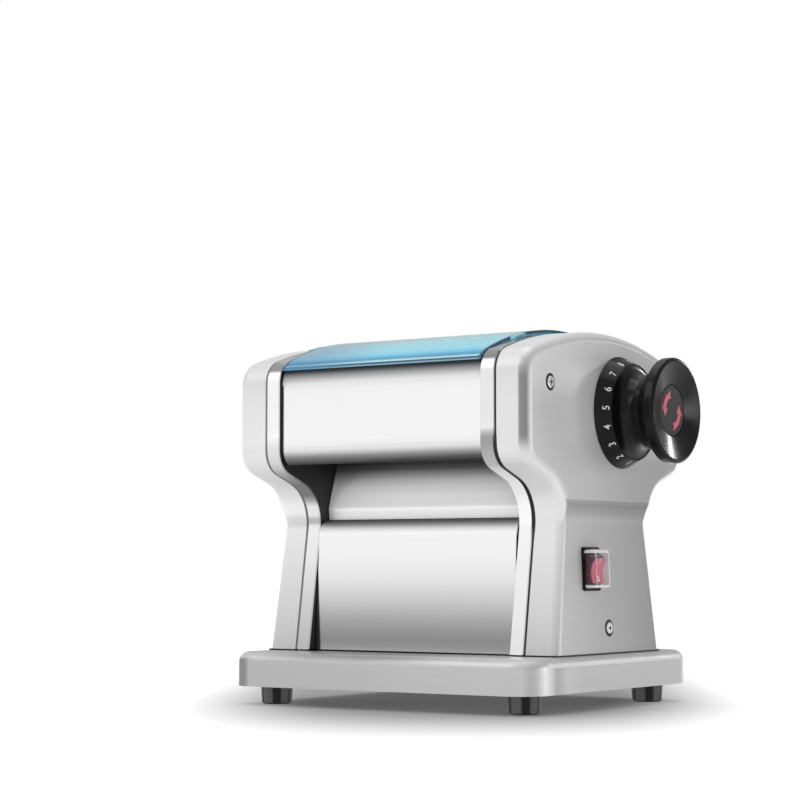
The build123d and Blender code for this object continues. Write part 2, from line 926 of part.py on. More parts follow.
def cutter_pair():
    """The two equal gears that couple the cutters."""
    front = 0.0
    rear = meshed_phase(cutter_pair_teeth, front, cutter_place(), cutter_pair_teeth, cutter_rear_place())
    bore = cutter_journal + press
    places = [(front, cutter_place()), (rear, cutter_rear_place())]
    return [gear(cutter_pair_teeth, cutter_module, *row, pair_x, pair_gear_width, bore) for row in places]


def train():
    """Gears of the outer layer, each meshed with the one before it: name to solid."""
    large, small, idle = large_gear_place(), pinion_place(), transfer_place()
    large_phase = 0.0
    small_phase = meshed_phase(large_teeth, large_phase, large, pinion_teeth, small)
    drive_phase = meshed_phase(large_teeth, large_phase, large, drive_teeth, press_place())
    idle_phase = meshed_phase(large_teeth, large_phase, large, transfer_teeth, idle)
    cutter_phase = meshed_phase(transfer_teeth, idle_phase, idle, cutter_drive_teeth, cutter_rear_place())
    rows = {
        "large_gear": (large_teeth, large_phase, large, stud_radius + slip),
        "motor_pinion": (pinion_teeth, small_phase, small, motor_shaft_radius + press),
        "press_drive_gear": (drive_teeth, drive_phase, press_place(), press_journal + press),
        "transfer_gear": (transfer_teeth, idle_phase, idle, stud_radius + slip),
        "cutter_drive_gear": (
            cutter_drive_teeth,
            cutter_phase,
            cutter_rear_place(),
            cutter_journal + press,
        ),
    }
    made = {}
    for name, (teeth, phase, place, bore) in rows.items():
        made[name] = gear(teeth, train_module, phase, place, train_x, train_gear_width, bore)
    return made


def gear_stud(place):
    """Shouldered stud in the left frame, with a head that keeps its gear on."""
    y, z = place
    pin = rod(stud_radius, stud_end, -throat, y, z)
    return pin + rod(stud_head_radius, stud_end - stud_head, stud_end, y, z)


# ---------------------------------------------------------------- thickness adjuster
def adjust_shaft():
    """Round shaft from the left frame to the knob, with a flat where the knob slides on it."""
    shaft_end = knob_base + knob_cap_floor() - retainer_seat
    shaft = rod(adjust_radius, -frame_outer + 1, shaft_end, *adjust_place())
    return shaft - flat_cut(knob_base, 0)


def flat_cut(x_from, clearance):
    """Removes the side of the shaft beyond its flat."""
    flat = adjust_radius * 0.6 + clearance
    y, z = adjust_place()
    reach = adjust_radius + 1
    return block(x_from, knob_tip + 1, y - reach, y + reach, z + flat, z + 2 * adjust_radius)


def knob_cap_floor():
    """Height of the seat under the knob's centre cap."""
    return knob_height - knob_dish - knob_cap_thickness


def cam():
    """Spiral cam: its radius falls evenly by the press roller's travel over the knob's turn."""
    fall = press_travel / adjust_turn
    steps = 8
    span = adjust_turn + 2 * cam_margin
    points = []
    for step in range(steps + 1):
        turn = -cam_margin + span * step / steps
        radius = cam_radius - fall * turn
        points.append((radius * cos(radians(180 + turn)), radius * sin(radians(180 + turn))))
    outline = make_face([Spline(*points), Line(points[-1], points[0])])
    y, z = adjust_place()
    body = Pos(0, y, z) * slab(Plane.YZ * outline, web_outer + loose, frame_outer - loose)
    body += rod(adjust_radius + sheet, web_outer + loose, frame_outer - loose, y, z)
    return body - rod(adjust_radius + press, web_outer, frame_outer, y, z)


def index_places():
    """Directions of the nine settings from the bottom of the dial up its front side."""
    return [270 - adjust_step * setting for setting in range(adjust_settings)]


def index_ring():
    """Ring on the right cover: an arc groove that ends the knob's turn, with nine dimples."""
    y, z = adjust_place()
    inner = CenterArc((0, 0), index_groove_radius, 270 - adjust_turn, adjust_turn)
    groove = Plane.YZ * SlotArc(inner, 2 * (index_pin_radius + loose))
    x_to = cover_face + index_ring_height
    body = rod(index_ring_radius, cover_face, x_to, y, z) - rod(index_ring_bore, cover_face, x_to, y, z)
    body -= Pos(0, y, z) * slab(groove, x_to - index_groove_depth, x_to)
    for direction in index_places():
        spot = (
            y + index_groove_radius * cos(radians(direction)),
            z + index_groove_radius * sin(radians(direction)),
        )
        floor_x = x_to - index_groove_depth
        body -= rod(index_pin_radius, floor_x - index_dimple_depth, floor_x, *spot)
    return body


def knob():
    """Turned knob: a conical number skirt, a waist, a collar and a dished mushroom head."""
    cap_seat = knob_cap_floor()
    under = skirt_height - skirt_wall
    collar_x = skirt_height + neck_length
    flare_x = collar_x + collar_length
    rim_x = knob_height - rim_width
    outline = [
        (0, skirt_radius),
        (skirt_height, skirt_top_radius),
        (skirt_height, neck_radius),
        (collar_x, neck_radius),
        (collar_x, collar_radius),
        (flare_x, collar_radius),
        (rim_x, head_radius),
        (knob_height, head_radius),
        (knob_height, head_radius - rim_land),
        (knob_height - knob_dish, knob_cap_radius + loose),
        (cap_seat, knob_cap_radius + loose),
        (cap_seat, knob_well_radius),
        (knob_floor, knob_well_radius),
        (knob_floor, adjust_radius + slip),
        (loose, adjust_radius + slip),
        (loose, knob_hub_radius),
        (under, knob_hub_radius),
        (under, skirt_top_radius - skirt_wall),
        (0, skirt_radius - skirt_wall),
    ]
    rounds = [(outline[2], neck_round), (outline[6], rim_round), (outline[7], rim_round)]
    rounds.append((outline[8], rim_land / 2))
    body = Pos(knob_base, *adjust_place()) * turned(outline, rounds)
    y, z = adjust_place()
    keyed = rod(adjust_radius + 1, knob_base + loose, knob_base + knob_floor, y, z)
    body += keyed & flat_cut(knob_base, slip)
    tip_x = cover_face + index_ring_height - index_groove_depth + seam
    pin = rod(index_pin_radius, tip_x, knob_base + under + 1, y, z - index_groove_radius)
    return body + pin


def knob_cap():
    """Round cap in the middle of the knob, slightly domed."""
    seat = knob_base + knob_cap_floor()
    cap = rod(knob_cap_radius, seat, seat + knob_cap_thickness, *adjust_place())
    return fillet(cap.faces().sort_by(Axis.X)[-1].edges(), 0.8)


def knob_retainer():
    """Washer and screw on the end of the adjuster's shaft, which the knob's spring bears on."""
    seat = knob_base + knob_cap_floor() - retainer_seat
    y, z = adjust_place()
    washer = rod(knob_well_radius - retainer_gap, seat, seat + retainer_washer, y, z)
    return washer + rod(retainer_head_radius, seat, seat + retainer_height, y, z)


def knob_spring():
    """Coil spring round the shaft, drawn in with the knob pulled out."""
    x_to = knob_base + knob_cap_floor() - retainer_seat
    x_from = knob_base + knob_floor + knob_pull + seam
    middle = (knob_well_radius + adjust_radius) / 2
    room = x_to - x_from
    turns = int(room / (1.6 * knob_spring_wire))
    rings = []
    y, z = adjust_place()
    for turn in range(turns):
        x = x_from + (turn + 0.5) * room / turns
        wire = knob_spring_wire / 2
        ring = rod(middle + wire, x - wire, x + wire, y, z) - rod(middle - wire, x - wire, x + wire, y, z)
        rings.append(ring)
    return rings


# ---------------------------------------------------------------- switch
def switch_seat():
    """Place of the switch: on the leaning lower face of the right cover, X outwards."""
    lean = degrees(atan2(cover_waist_step, cover_step_low_z - base_top))
    return Pos(cover_face_x(switch_z), switch_y, switch_z) * Rot(0, -lean, 0)


def boxed(x_from, x_to, width, height):
    """A block centred on the switch's axis."""
    return block(x_from, x_to, -width / 2, width / 2, -height / 2, height / 2)


def switch_housing():
    """Bezel on the cover and body through it, hollow for the rocker."""
    bezel = boxed(0, switch_bezel, switch_width, switch_height)
    bezel = fillet(bezel.edges().filter_by(Axis.X), 2)
    bezel = fillet(bezel.faces().sort_by(Axis.X)[-1].edges(), 0.6)
    body = bezel + boxed(-switch_depth, 0, switch_body_width, switch_body_height)
    body -= boxed(switch_bezel - switch_well_depth, switch_bezel + 1, switch_well_width, switch_well_height)
    pivot = Plane.XZ * Circle(rocker_pin_radius + slip)
    bore = Pos(rocker_pivot_x(), switch_body_width / 2 - 0.4, 0) * extrude(pivot, switch_body_width - 0.8)
    return switch_seat() * (body - bore)


def rocker_pivot_x():
    return switch_bezel - switch_well_depth / 2 + 0.5


def rocker():
    """Rocker with two shallow faces, resting tipped to one side of its pivot."""
    half = switch_well_height / 2 - rocker_end_gap
    width = switch_well_width - 2 * rocker_gap
    pivot_x = rocker_pivot_x()
    top = switch_bezel + rocker_rise - pivot_x
    outline = [
        (-rocker_edge, rocker_dip - half),
        (top - rocker_edge, -half),
        (top, rocker_edge - half),
        (top - rocker_dip, 0),
        (top, half - rocker_edge),
        (top - rocker_edge, half),
        (-rocker_edge, half - rocker_dip),
    ]
    face = Plane.XZ * make_face(Polyline(*outline, close=True))
    body = Pos(0, width / 2, 0) * extrude(face, width)
    length = switch_body_width - 1
    pin = Pos(0, length / 2, 0) * extrude(Plane.XZ * Circle(rocker_pin_radius), length)
    return switch_seat() * Pos(pivot_x, 0, 0) * Rot(0, rocker_throw / 2, 0) * (body + pin)


def switch_boot():
    """Clear soft cap over the rocker, sitting on the bezel."""
    outer = boxed(0, boot_rise, boot_width, boot_height)
    outer = fillet(outer.edges().filter_by(Axis.X), boot_round)
    outer = fillet(outer.faces().sort_by(Axis.X)[-1].edges(), boot_round - 0.5)
    inner = boxed(-1, boot_rise - boot_wall, boot_width - 2 * boot_wall, boot_height - 2 * boot_wall)
    inner = fillet(inner.edges().filter_by(Axis.X), boot_round - boot_wall)
    return switch_seat() * Pos(switch_bezel, 0, 0) * (outer - inner)


# ---------------------------------------------------------------- panels, chutes, deck
def head_panel(top_y):
    """Front panel of the head: it follows the frames' outline, set in from their edge."""
    skin = side_outline(panel_inset) - side_outline(panel_inset + sheet)
    strip = skin & region(-head_half_depth, -top_y, head_panel_bottom_z, crown_z)
    hood_side = region(-base_depth / 2, 0, hood_front_z - hood_panel_gap, hood_crown_z)
    strip -= hood_side - hood_outline(hood_thickness + hood_panel_gap)
    return slab(strip, panel_gap - throat, throat - panel_gap)


def lower_panel():
    """Front panel under the chute: leaning slightly, with its top edge rolled inwards."""
    lean = (lower_panel_foot_y - lower_panel_top_y) / (lower_panel_top_z - base_top)
    top_z = lower_panel_top_z + lower_panel_round
    foot_z = body_foot
    points = [
        (-lower_panel_foot_y + sheet / 2, foot_z),
        (-lower_panel_foot_y + sheet / 2 + lean * (top_z - foot_z), top_z),
        (-chute_lip_y + chute_lip_back + lower_panel_tuck, top_z),
    ]
    return bent_sheet(points, lower_panel_round, throat - panel_gap)


def chute():
    """Front slide under the press nip, bent down at its lip."""
    points = [
        (-chute_top_y, chute_top_z),
        (-chute_middle_y, chute_middle_z),
        (-chute_lip_y, chute_lip_z),
        (-chute_lip_y + chute_lip_back, chute_lip_z - chute_lip_drop),
    ]
    return bent_sheet(points, [40, 3], throat - panel_gap)


def backward(shape):
    """The same piece at the back of the body."""
    return mirror(shape, Plane.XZ)


def feed_deck():
    """Deck under the hood with a lipped slot over each pair of rollers."""
    nip = press_front_y + press_radius + press_gap / 2
    cut = (cutter_front_y + cutter_rear_y) / 2
    deck = block(slip - throat, throat - slip, -deck_half_depth, deck_half_depth, deck_z - sheet, deck_z)
    for middle, width, lip in [(nip, feed_slot_width, feed_lip), (cut, cutter_slot_width, cutter_lip)]:
        half = width / 2
        outer = (middle - half - sheet, middle + half + sheet)
        inner = (middle - half, middle + half)
        deck += block(-roller_end, roller_end, *outer, deck_z - lip, deck_z)
        deck -= block(sheet - roller_end, roller_end - sheet, *inner, deck_z - lip - 1, deck_z + 1)
    return deck


# ---------------------------------------------------------------- hood
def hood_outline(inset):
    """Outline of the hood: a flatter arch over the crown, turned down at the front."""
    radius = hood_crown_radius - inset
    half_depth = hood_half_depth - inset
    top_z = hood_crown_z - inset
    corner_z = top_z - radius + sqrt(radius**2 - half_depth**2)
    front = (-half_depth, corner_z)
    crown = ThreePointArc(front, (0, top_z), (half_depth, corner_z))
    sides = Polyline((half_depth, corner_z), (half_depth, throat), (-half_depth, throat), front)
    return Plane.YZ * round_corners(make_face([crown, sides]), [(front, hood_front_round - inset)])


def hood():
    """Clear curved hood between the frames, with four tabs on them and a hinge barrel behind."""
    skin = hood_outline(0) - hood_outline(hood_thickness)
    width = throat - panel_gap
    above = hood_crown_z + 1
    shell = slab(skin & region(-head_half_depth, hood_rear_y, hood_front_z, above), -width, width)
    rim = hood_outline(-hood_lip_rise) - hood_outline(hood_thickness)
    shell += slab(rim & region(-base_depth / 2, 0, hood_front_z, hood_front_z + hood_lip), -width, width)
    for start in (-hood_ear_outer_y, hood_ear_inner_y):
        tab = skin & region(start, start + hood_ear_outer_y - hood_ear_inner_y, deck_z, above)
        tab -= side_outline(-hood_rest_gap)
        shell += slab(tab, -throat - hood_ear, throat + hood_ear)
    web = region(hinge_y - hinge_web, hinge_y + hinge_web, hinge_z, hood_crown_z)
    shell += slab(web & hood_outline(hood_thickness / 2), -width, width)
    shell += rod(hinge_barrel_radius, -width, width, hinge_y, hinge_z)
    for side in (-1, 1):
        inner = side * (throat - hinge_pin_reach - loose)
        x_from, x_to = sorted((inner, side * throat))
        shell -= rod(hinge_pin_radius + slip, x_from, x_to, hinge_y, hinge_z)
    return shell


def hinge_pins():
    pin = rod(hinge_pin_radius, throat - hinge_pin_reach, throat + hinge_pin_seat, hinge_y, hinge_z)
    return Compound([pin, mirrored(pin)])


# ---------------------------------------------------------------- motor
def gearbox():
    """Cast gearbox on the left frame, with a nose through it for the output shaft."""
    y, z = pinion_place()
    body = Box(gearbox_width, gearbox_depth, gearbox_height)
    body = fillet(body.edges().filter_by(Axis.X), gearbox_round)
    body = Pos(gearbox_width / 2 - throat, motor_y, gearbox_z) * body
    body += rod(gearbox_nose_radius, -frame_outer, 0 - throat, y, z)
    return body - rod(motor_shaft_radius + slip, -frame_outer - 1, motor_shaft_seat - throat, y, z)


def motor():
    """Motor can with two end bells and a tail boss."""
    start = gearbox_width - throat
    end = start + motor_length
    bell = motor_radius - motor_bell_step
    outline = [
        (start, 0),
        (start, bell),
        (start + motor_bell, bell),
        (start + motor_bell, motor_radius),
        (end - motor_bell, motor_radius),
        (end - motor_bell, bell),
        (end, bell),
        (end, motor_boss_radius),
        (end + motor_boss, motor_boss_radius),
        (end + motor_boss, 0),
    ]
    rounds = [(outline[1], motor_bell_round), (outline[6], motor_bell_round)]
    return Pos(0, motor_y, motor_z) * turned(outline, rounds)


def motor_cradle():
    """Saddle on the base that carries the motor can."""
    reach = motor_radius * cradle_reach
    lip_z = motor_z - motor_radius * cradle_lip
    inner = reach - cradle_thickness
    outer = reach + cradle_foot
    middle = gearbox_width - throat + motor_length / 2
    side = region(motor_y - reach, motor_y + reach, base_top, lip_z)
    hollow = region(motor_y - inner, motor_y + inner, base_top, motor_z)
    ring = Plane.YZ * Pos(motor_y, motor_z) * Circle(motor_radius + cradle_thickness)
    flange = region(motor_y - outer, motor_y + outer, base_top, base_top + cradle_thickness)
    saddle = ring & side
    profile = (side - hollow) + saddle + flange
    body = slab(profile, middle - cradle_width / 2, middle + cradle_width / 2)
    return body - rod(motor_radius + slip, middle - cradle_width, middle + cradle_width, motor_y, motor_z)


def motor_shaft():
    y, z = pinion_place()
    return rod(motor_shaft_radius, train_x - train_gear_width - 1, motor_shaft_seat - throat - 1, y, z)


# ---------------------------------------------------------------- cord inlet
def gland_y():
    """Outer face of the rear lower panel at the gland's height."""
    lean = (lower_panel_foot_y - lower_panel_top_y) / (lower_panel_top_z - base_top)
    return lower_panel_foot_y - lean * (gland_z - base_top)


def cord_gland():
    """Gland in the rear panel, with a flange outside and a neck through the sheet."""
    y = gland_y() + gland_seat
    outline = [
        (gland_bore_radius, -sheet - 4),
        (gland_body_radius, -sheet - 4),
        (gland_body_radius, 0),
        (gland_flange_radius, 0),
        (gland_flange_radius, gland_flange),
        (gland_body_radius, gland_flange + 1),
        (gland_body_radius - 1.5, gland_flange + gland_reach),
        (gland_bore_radius, gland_flange + gland_reach),
    ]
    ring = revolve(make_face(Polyline(*outline, close=True)), Axis.Y)
    return Pos(gland_x, y, gland_z) * ring


def rear_lower_panel():
    panel = backward(lower_panel())
    hole = Plane.XZ * Circle(gland_body_radius + slip)
    panel -= Pos(gland_x, base_depth / 2, gland_z) * extrude(hole, base_depth / 2)
    slot = Plane.XZ * SlotOverall(vent_height, vent_width, rotation=90)
    for step in range(vent_count):
        x = vent_x + (step - (vent_count - 1) / 2) * vent_pitch
        panel -= Pos(x, base_depth / 2, vent_z) * extrude(slot, base_depth / 2)
    return panel


# ---------------------------------------------------------------- nodes
def write_nodes():
    save("base_tray", base_tray())
    save("base_plate", base_plate())
    save("base_feet", Compound([place * foot() for place in foot_places()]))
    save("foot_screws", Compound([place * foot_screw() for place in foot_places()]))
    save("frame_left", frame_left())
    save("frame_right", frame_right())
    save("cover_left", mirrored(cover(left_screw_places())))
    save("cover_right", cover_right())
    save("cover_screws", cover_screws())
    save("cover_gaskets", cover_gaskets())
    save("body_gaskets", body_gaskets())
    save("tie_rods", tie_rods())
    save("tie_rod_nuts", tie_rod_nuts())

    save("press_roller_front", press_roller(press_front_y, train_x - train_gear_width - 1))
    save("press_roller_rear", press_roller(press_rear_y, pair_x - pair_gear_width - 0.5))
    save("press_bushes", bushes(press_journal, press_bush_radius, [press_place()]))
    save("bearing_blocks", Compound([bearing_block(), mirrored(bearing_block())]))
    save("block_springs", Compound([block_spring(), mirrored(block_spring())]))
    save("press_scraper_front", front_scraper())
    save("press_scraper_rear", rear_scraper())

    rings = front_rings()
    first = -(rings - 1) / 2 * cutter_pitch
    cutter_end = pair_x - pair_gear_width - 0.5
    drive_end = train_x - train_gear_width - 1
    save("cutter_roller_front", cutter_roller(cutter_front_y, first, rings, cutter_end))
    save("cutter_roller_rear", cutter_roller(cutter_rear_y, first - cutter_pitch / 2, rings + 1, drive_end))
    save("cutter_bushes", bushes(cutter_journal, cutter_bush_radius, [cutter_place(), cutter_rear_place()]))
    save("cutter_comb_front", cutter_comb(rings + 1))
    save("cutter_comb_rear", cutter_comb_rear(rings))

    for name, solid in zip(("press_gear_front", "press_gear_rear"), press_pair()):
        save(name, solid)
    for name, solid in zip(("cutter_gear_front", "cutter_gear_rear"), cutter_pair()):
        save(name, solid)
    for name, solid in train().items():
        save(name, solid)
    save("gear_studs", Compound([gear_stud(large_gear_place()), gear_stud(transfer_place())]))

    save("adjust_shaft", adjust_shaft())
    save("adjust_cams", Compound([cam(), mirrored(cam())]))
    save("knob_retainer", knob_retainer())
    save("knob_spring", Compound(knob_spring()))
    save("index_ring", index_ring())
    save("thickness_knob", knob())
    save("knob_cap", knob_cap())

    save("switch_housing", switch_housing())
    save("switch_rocker", rocker())
    save("switch_boot", switch_boot())

    save("head_panel_front", head_panel(head_panel_top_y))
    save("head_panel_rear", backward(head_panel(rear_panel_top_y)))
    save("lower_panel_front", lower_panel())
    save("lower_panel_rear", rear_lower_panel())
    save("dough_chute", chute())
    save("noodle_chute", backward(chute()))
    save("feed_deck", feed_deck())
    save("hood", hood())
    save("hood_hinge_pins", hinge_pins())

    save("gearbox", gearbox())
    save("motor", motor())
    save("motor_cradle", motor_cradle())
    save("motor_shaft", motor_shaft())
    save("cord_gland", cord_gland())


os.makedirs("parts", exist_ok=True)
write_nodes()
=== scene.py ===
from math import atan, cos, pi, radians, sin

import bpy
from mathutils import Matrix, Vector


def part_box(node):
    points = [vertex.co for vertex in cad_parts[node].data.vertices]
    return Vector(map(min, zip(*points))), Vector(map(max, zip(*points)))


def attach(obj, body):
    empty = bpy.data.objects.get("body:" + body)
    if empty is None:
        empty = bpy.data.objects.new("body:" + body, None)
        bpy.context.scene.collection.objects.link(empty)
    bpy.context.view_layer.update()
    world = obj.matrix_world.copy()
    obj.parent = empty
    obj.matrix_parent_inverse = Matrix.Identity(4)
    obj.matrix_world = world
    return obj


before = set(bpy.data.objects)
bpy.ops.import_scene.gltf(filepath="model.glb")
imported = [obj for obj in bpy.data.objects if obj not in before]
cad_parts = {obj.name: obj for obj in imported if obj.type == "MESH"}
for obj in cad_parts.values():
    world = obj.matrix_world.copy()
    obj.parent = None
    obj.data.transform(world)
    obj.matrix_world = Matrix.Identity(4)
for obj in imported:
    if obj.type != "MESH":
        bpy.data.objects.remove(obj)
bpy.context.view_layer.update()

scene = bpy.context.scene
scene.view_settings.view_transform = "Standard"

# ---------------------------------------------------------------- places on the part, in metres
MM = 0.001
MIDDLE_X = -0.021125                 # the middle plane between the two frames
COVER_FACE = 0.13335                 # from the middle plane to the upper face of a cover
LEAN_FOOT, LEAN_TOP = 0.0412, 0.157  # heights between which the covers' faces lean
COVER_LEAN = 3.8 / 100.8
SWITCH_Y, SWITCH_Z = -0.026, 0.106

# ---------------------------------------------------------------- camera
CAMERA_PLACE = Vector((0.9408, -1.4968, 0.1093))
CAMERA_AIM = Vector((-0.5628, 0.8233, 0.0741))


def turn_along(thing, direction):
    """Turns a camera or a lamp to look along a direction."""
    thing.rotation_mode = "QUATERNION"
    thing.rotation_quaternion = direction.to_track_quat("-Z", "Y")


lens = bpy.data.cameras.new("camera")
lens.lens, lens.sensor_width = 99.74, 36.0
lens.clip_start, lens.clip_end = 0.05, 50.0
camera = bpy.data.objects.new("camera", lens)
camera.location = CAMERA_PLACE
turn_along(camera, CAMERA_AIM)
scene.collection.objects.link(camera)
scene.camera = camera


# ---------------------------------------------------------------- shader building
def put(tree, kind, settings=None, **inputs):
    """Adds a shader node. Inputs are named by their label, or iN for the Nth."""
    node = tree.nodes.new("ShaderNode" + kind)
    for key, value in (settings or {}).items():
        setattr(node, key, value)
    for key, value in inputs.items():
        socket = node.inputs[int(key[1:])] if key[1:].isdigit() else node.inputs[key.replace("_", " ")]
        feed(tree, socket, value)
    return node


def feed(tree, socket, value):
    """Links a socket to another node's output, or sets it to a constant."""
    if isinstance(value, bpy.types.NodeSocket):
        tree.links.new(value, socket)
    else:
        socket.default_value = value


def tone(level):
    """Linear value of a display grey from 0 to 255."""
    share = level / 255
    return share / 12.92 if share <= 0.04045 else ((share + 0.055) / 1.055) ** 2.4


def grey(level):
    return (level, level, level, 1.0)


def calc(tree, operation, first, second=0.0):
    return put(tree, "Math", {"operation": operation}, i0=first, i1=second).outputs[0]


def absolute(tree, value):
    return calc(tree, "ABSOLUTE", value)


def scaled(tree, value, factor, offset):
    """The value times a factor, plus an offset."""
    return put(tree, "Math", {"operation": "MULTIPLY_ADD"}, i0=value, i1=factor, i2=offset).outputs[0]


def every(tree, *factors):
    """Product of several factors."""
    product = factors[0]
    for factor in factors[1:]:
        product = calc(tree, "MULTIPLY", product, factor)
    return product


def linear(tree, value, low, high, to_low=0.0, to_high=1.0):
    """Straight step of a value from low to high."""
    return put(tree, "MapRange", i0=value, i1=low, i2=high, i3=to_low, i4=to_high).outputs[0]


def smooth(tree, value, low, high, to_low=0.0, to_high=1.0):
    """Smooth step of a value from low to high."""
    kind = {"interpolation_type": "SMOOTHSTEP"}
    return put(tree, "MapRange", kind, i0=value, i1=low, i2=high, i3=to_low, i4=to_high).outputs[0]


def bell(tree, value, low, full_low, full_high, high):
    """1 between the two full values, falling to 0 at low and at high."""
    return calc(tree, "MULTIPLY", smooth(tree, value, low, full_low), smooth(tree, value, high, full_high))


def mix(tree, factor, first, second, kind="MIX"):
    return put(tree, "MixRGB", {"blend_type": kind}, Fac=factor, Color1=first, Color2=second).outputs[0]


def ramp(tree, factor, stops):
    """Colour ramp: stops are (position, colour) pairs."""
    node = put(tree, "ValToRGB", Fac=factor)
    band = node.color_ramp
    while len(band.elements) > 1:
        band.elements.remove(band.elements[-1])
    band.elements[0].position, band.elements[0].color = stops[0]
    for place, colour in stops[1:]:
        band.elements.new(place).color = colour
    return node.outputs["Color"]


def grey_ramp(tree, factor, stops):
    return ramp(tree, factor, [(place, grey(level)) for place, level in stops])


def place_on(tree, axis):
    """One coordinate of the surface in the object's own metres."""
    return put(tree, "SeparateXYZ", Vector=put(tree, "TexCoord").outputs["Object"]).outputs[axis]


def facing(tree, axis):
    """One part of the surface's normal in the object's own axes."""
    return put(tree, "SeparateXYZ", Vector=put(tree, "TexCoord").outputs["Normal"]).outputs[axis]


def from_middle(tree):
    """Distance from the middle plane between the frames."""
    return absolute(tree, calc(tree, "SUBTRACT", place_on(tree, "X"), MIDDLE_X))


def on_right(tree):
    """1 on the knob's side of the part, 0 on the other."""
    return smooth(tree, place_on(tree, "X"), -0.02, 0.02)


def upright(tree):
    """1 on walls, 0 on level surfaces."""
    return smooth(tree, absolute(tree, facing(tree, "Z")), 0.6, 0.2)


def by_height(tree, stops):
    """A grey that follows the height: stops are (millimetres up, factor)."""
    low, high = stops[0][0] * MM, stops[-1][0] * MM
    share = linear(tree, place_on(tree, "Z"), low, high)
    return grey_ramp(tree, share, [((height * MM - low) / (high - low), factor) for height, factor in stops])


def noise(tree, scale, stretch=(1, 1, 1), detail=3.0):
    """Noise in the object's own metres, stretched along the axes given smaller factors."""
    spread = put(tree, "Mapping", Vector=put(tree, "TexCoord").outputs["Object"], Scale=stretch).outputs[0]
    return put(tree, "TexNoise", Vector=spread, Scale=scale, Detail=detail).outputs["Fac"]


def new_shader(name):
    material = bpy.data.materials.new(name)
    material.use_nodes = True
    tree = material.node_tree
    return material, tree, tree.nodes["Principled BSDF"]


def finish(name, dark, light, metallic, rough, spread, scale, stretch, depth, **more):
    """A finish whose colour, roughness and relief all follow one stretched grain."""
    material, tree, shader = new_shader(name)
    grain = noise(tree, scale, stretch)
    cloud = noise(tree, 18.0)
    both = calc(tree, "ADD", calc(tree, "MULTIPLY", grain, 0.6), calc(tree, "MULTIPLY", cloud, 0.4))
    colour = ramp(tree, both, [(0.3, (*dark, 1)), (0.7, (*light, 1))])
    feed(tree, shader.inputs["Base Color"], colour)
    feed(tree, shader.inputs["Roughness"], linear(tree, both, 0.3, 0.7, rough - spread, rough + spread))
    bump = put(tree, "Bump", Height=grain, Strength=depth, Distance=0.0002)
    feed(tree, shader.inputs["Normal"], bump.outputs[0])
    shader.inputs["Metallic"].default_value = metallic
    for key, value in more.items():
        shader.inputs[key.replace("_", " ")].default_value = value
    return material, tree, shader, colour


def recolour(tree, shader, colour):
    feed(tree, shader.inputs["Base Color"], colour)


def tinted(tree, shader, colour, factor):
    """Multiplies a finish's colour by a factor that changes over the piece."""
    recolour(tree, shader, mix(tree, 1.0, colour, factor, "MULTIPLY"))


# ---------------------------------------------------------------- plain finishes
ALL = (1, 1, 1)
PLAIN_FINISHES = {
    # darker and lighter colour, metallic, roughness and its spread, grain's scale, stretch and depth, specular level
    "roller_steel": ((0.62, 0.62, 0.63), (0.70, 0.70, 0.71), 1.0, 0.25, 0.06, 700, (1, 0.1, 0.1), 0.1, 0.5),
    "gear_steel": ((0.36, 0.36, 0.38), (0.5, 0.5, 0.52), 1.0, 0.38, 0.08, 300, ALL, 0.2, 0.5),
    "inner_steel": ((0.42, 0.42, 0.44), (0.55, 0.55, 0.56), 1.0, 0.4, 0.08, 260, (1, 0.3, 0.3), 0.15, 0.5),
    "nickel": ((0.70, 0.69, 0.68), (0.84, 0.83, 0.81), 0.85, 0.25, 0.06, 600, ALL, 0.08, 0.5),
    "bronze": ((0.42, 0.26, 0.12), (0.60, 0.40, 0.20), 1.0, 0.35, 0.08, 500, ALL, 0.15, 0.5),
    "cast_housing": ((0.30, 0.31, 0.32), (0.42, 0.43, 0.44), 0.7, 0.55, 0.08, 350, ALL, 0.5, 0.5),
    "motor_enamel": ((0.05, 0.055, 0.06), (0.09, 0.095, 0.1), 0.0, 0.38, 0.06, 260, ALL, 0.2, 0.5),
    "rubber": ((0.004, 0.004, 0.0045), (0.010, 0.010, 0.0105), 0.0, 0.33, 0.06, 700, ALL, 0.2, 0.25),
    "black_gloss": ((0.003, 0.003, 0.0033), (0.006, 0.006, 0.0063), 0.0, 0.17, 0.03, 300, ALL, 0.03, 0.15),
    "black_matte": ((0.004, 0.004, 0.0045), (0.010, 0.010, 0.0105), 0.0, 0.4, 0.08, 500, ALL, 0.2, 0.2),
    "cap_grey": ((0.012, 0.013, 0.014), (0.018, 0.019, 0.020), 0.0, 0.5, 0.05, 900, ALL, 0.15, 0.2),
    "red_rocker": ((0.05, 0.004, 0.012), (0.09, 0.007, 0.024), 0.0, 0.25, 0.04, 300, ALL, 0.05, 0.5),
    "switch_black": ((0.002, 0.002, 0.002), (0.004, 0.004, 0.004), 0.0, 0.4, 0.05, 500, ALL, 0.1, 0.1),
    "print_white": ((0.62, 0.62, 0.62), (0.74, 0.74, 0.74), 0.0, 0.4, 0.05, 900, ALL, 0.05, 0.5),
    "print_red": ((0.62, 0.05, 0.11), (0.72, 0.075, 0.15), 0.0, 0.4, 0.05, 900, ALL, 0.05, 0.5),
}
plain = {name: finish(name, *values[:-1], Specular_IOR_Level=values[-1])[0] for name, values in PLAIN_FINISHES.items()}

# ---------------------------------------------------------------- rubber feet and gaskets


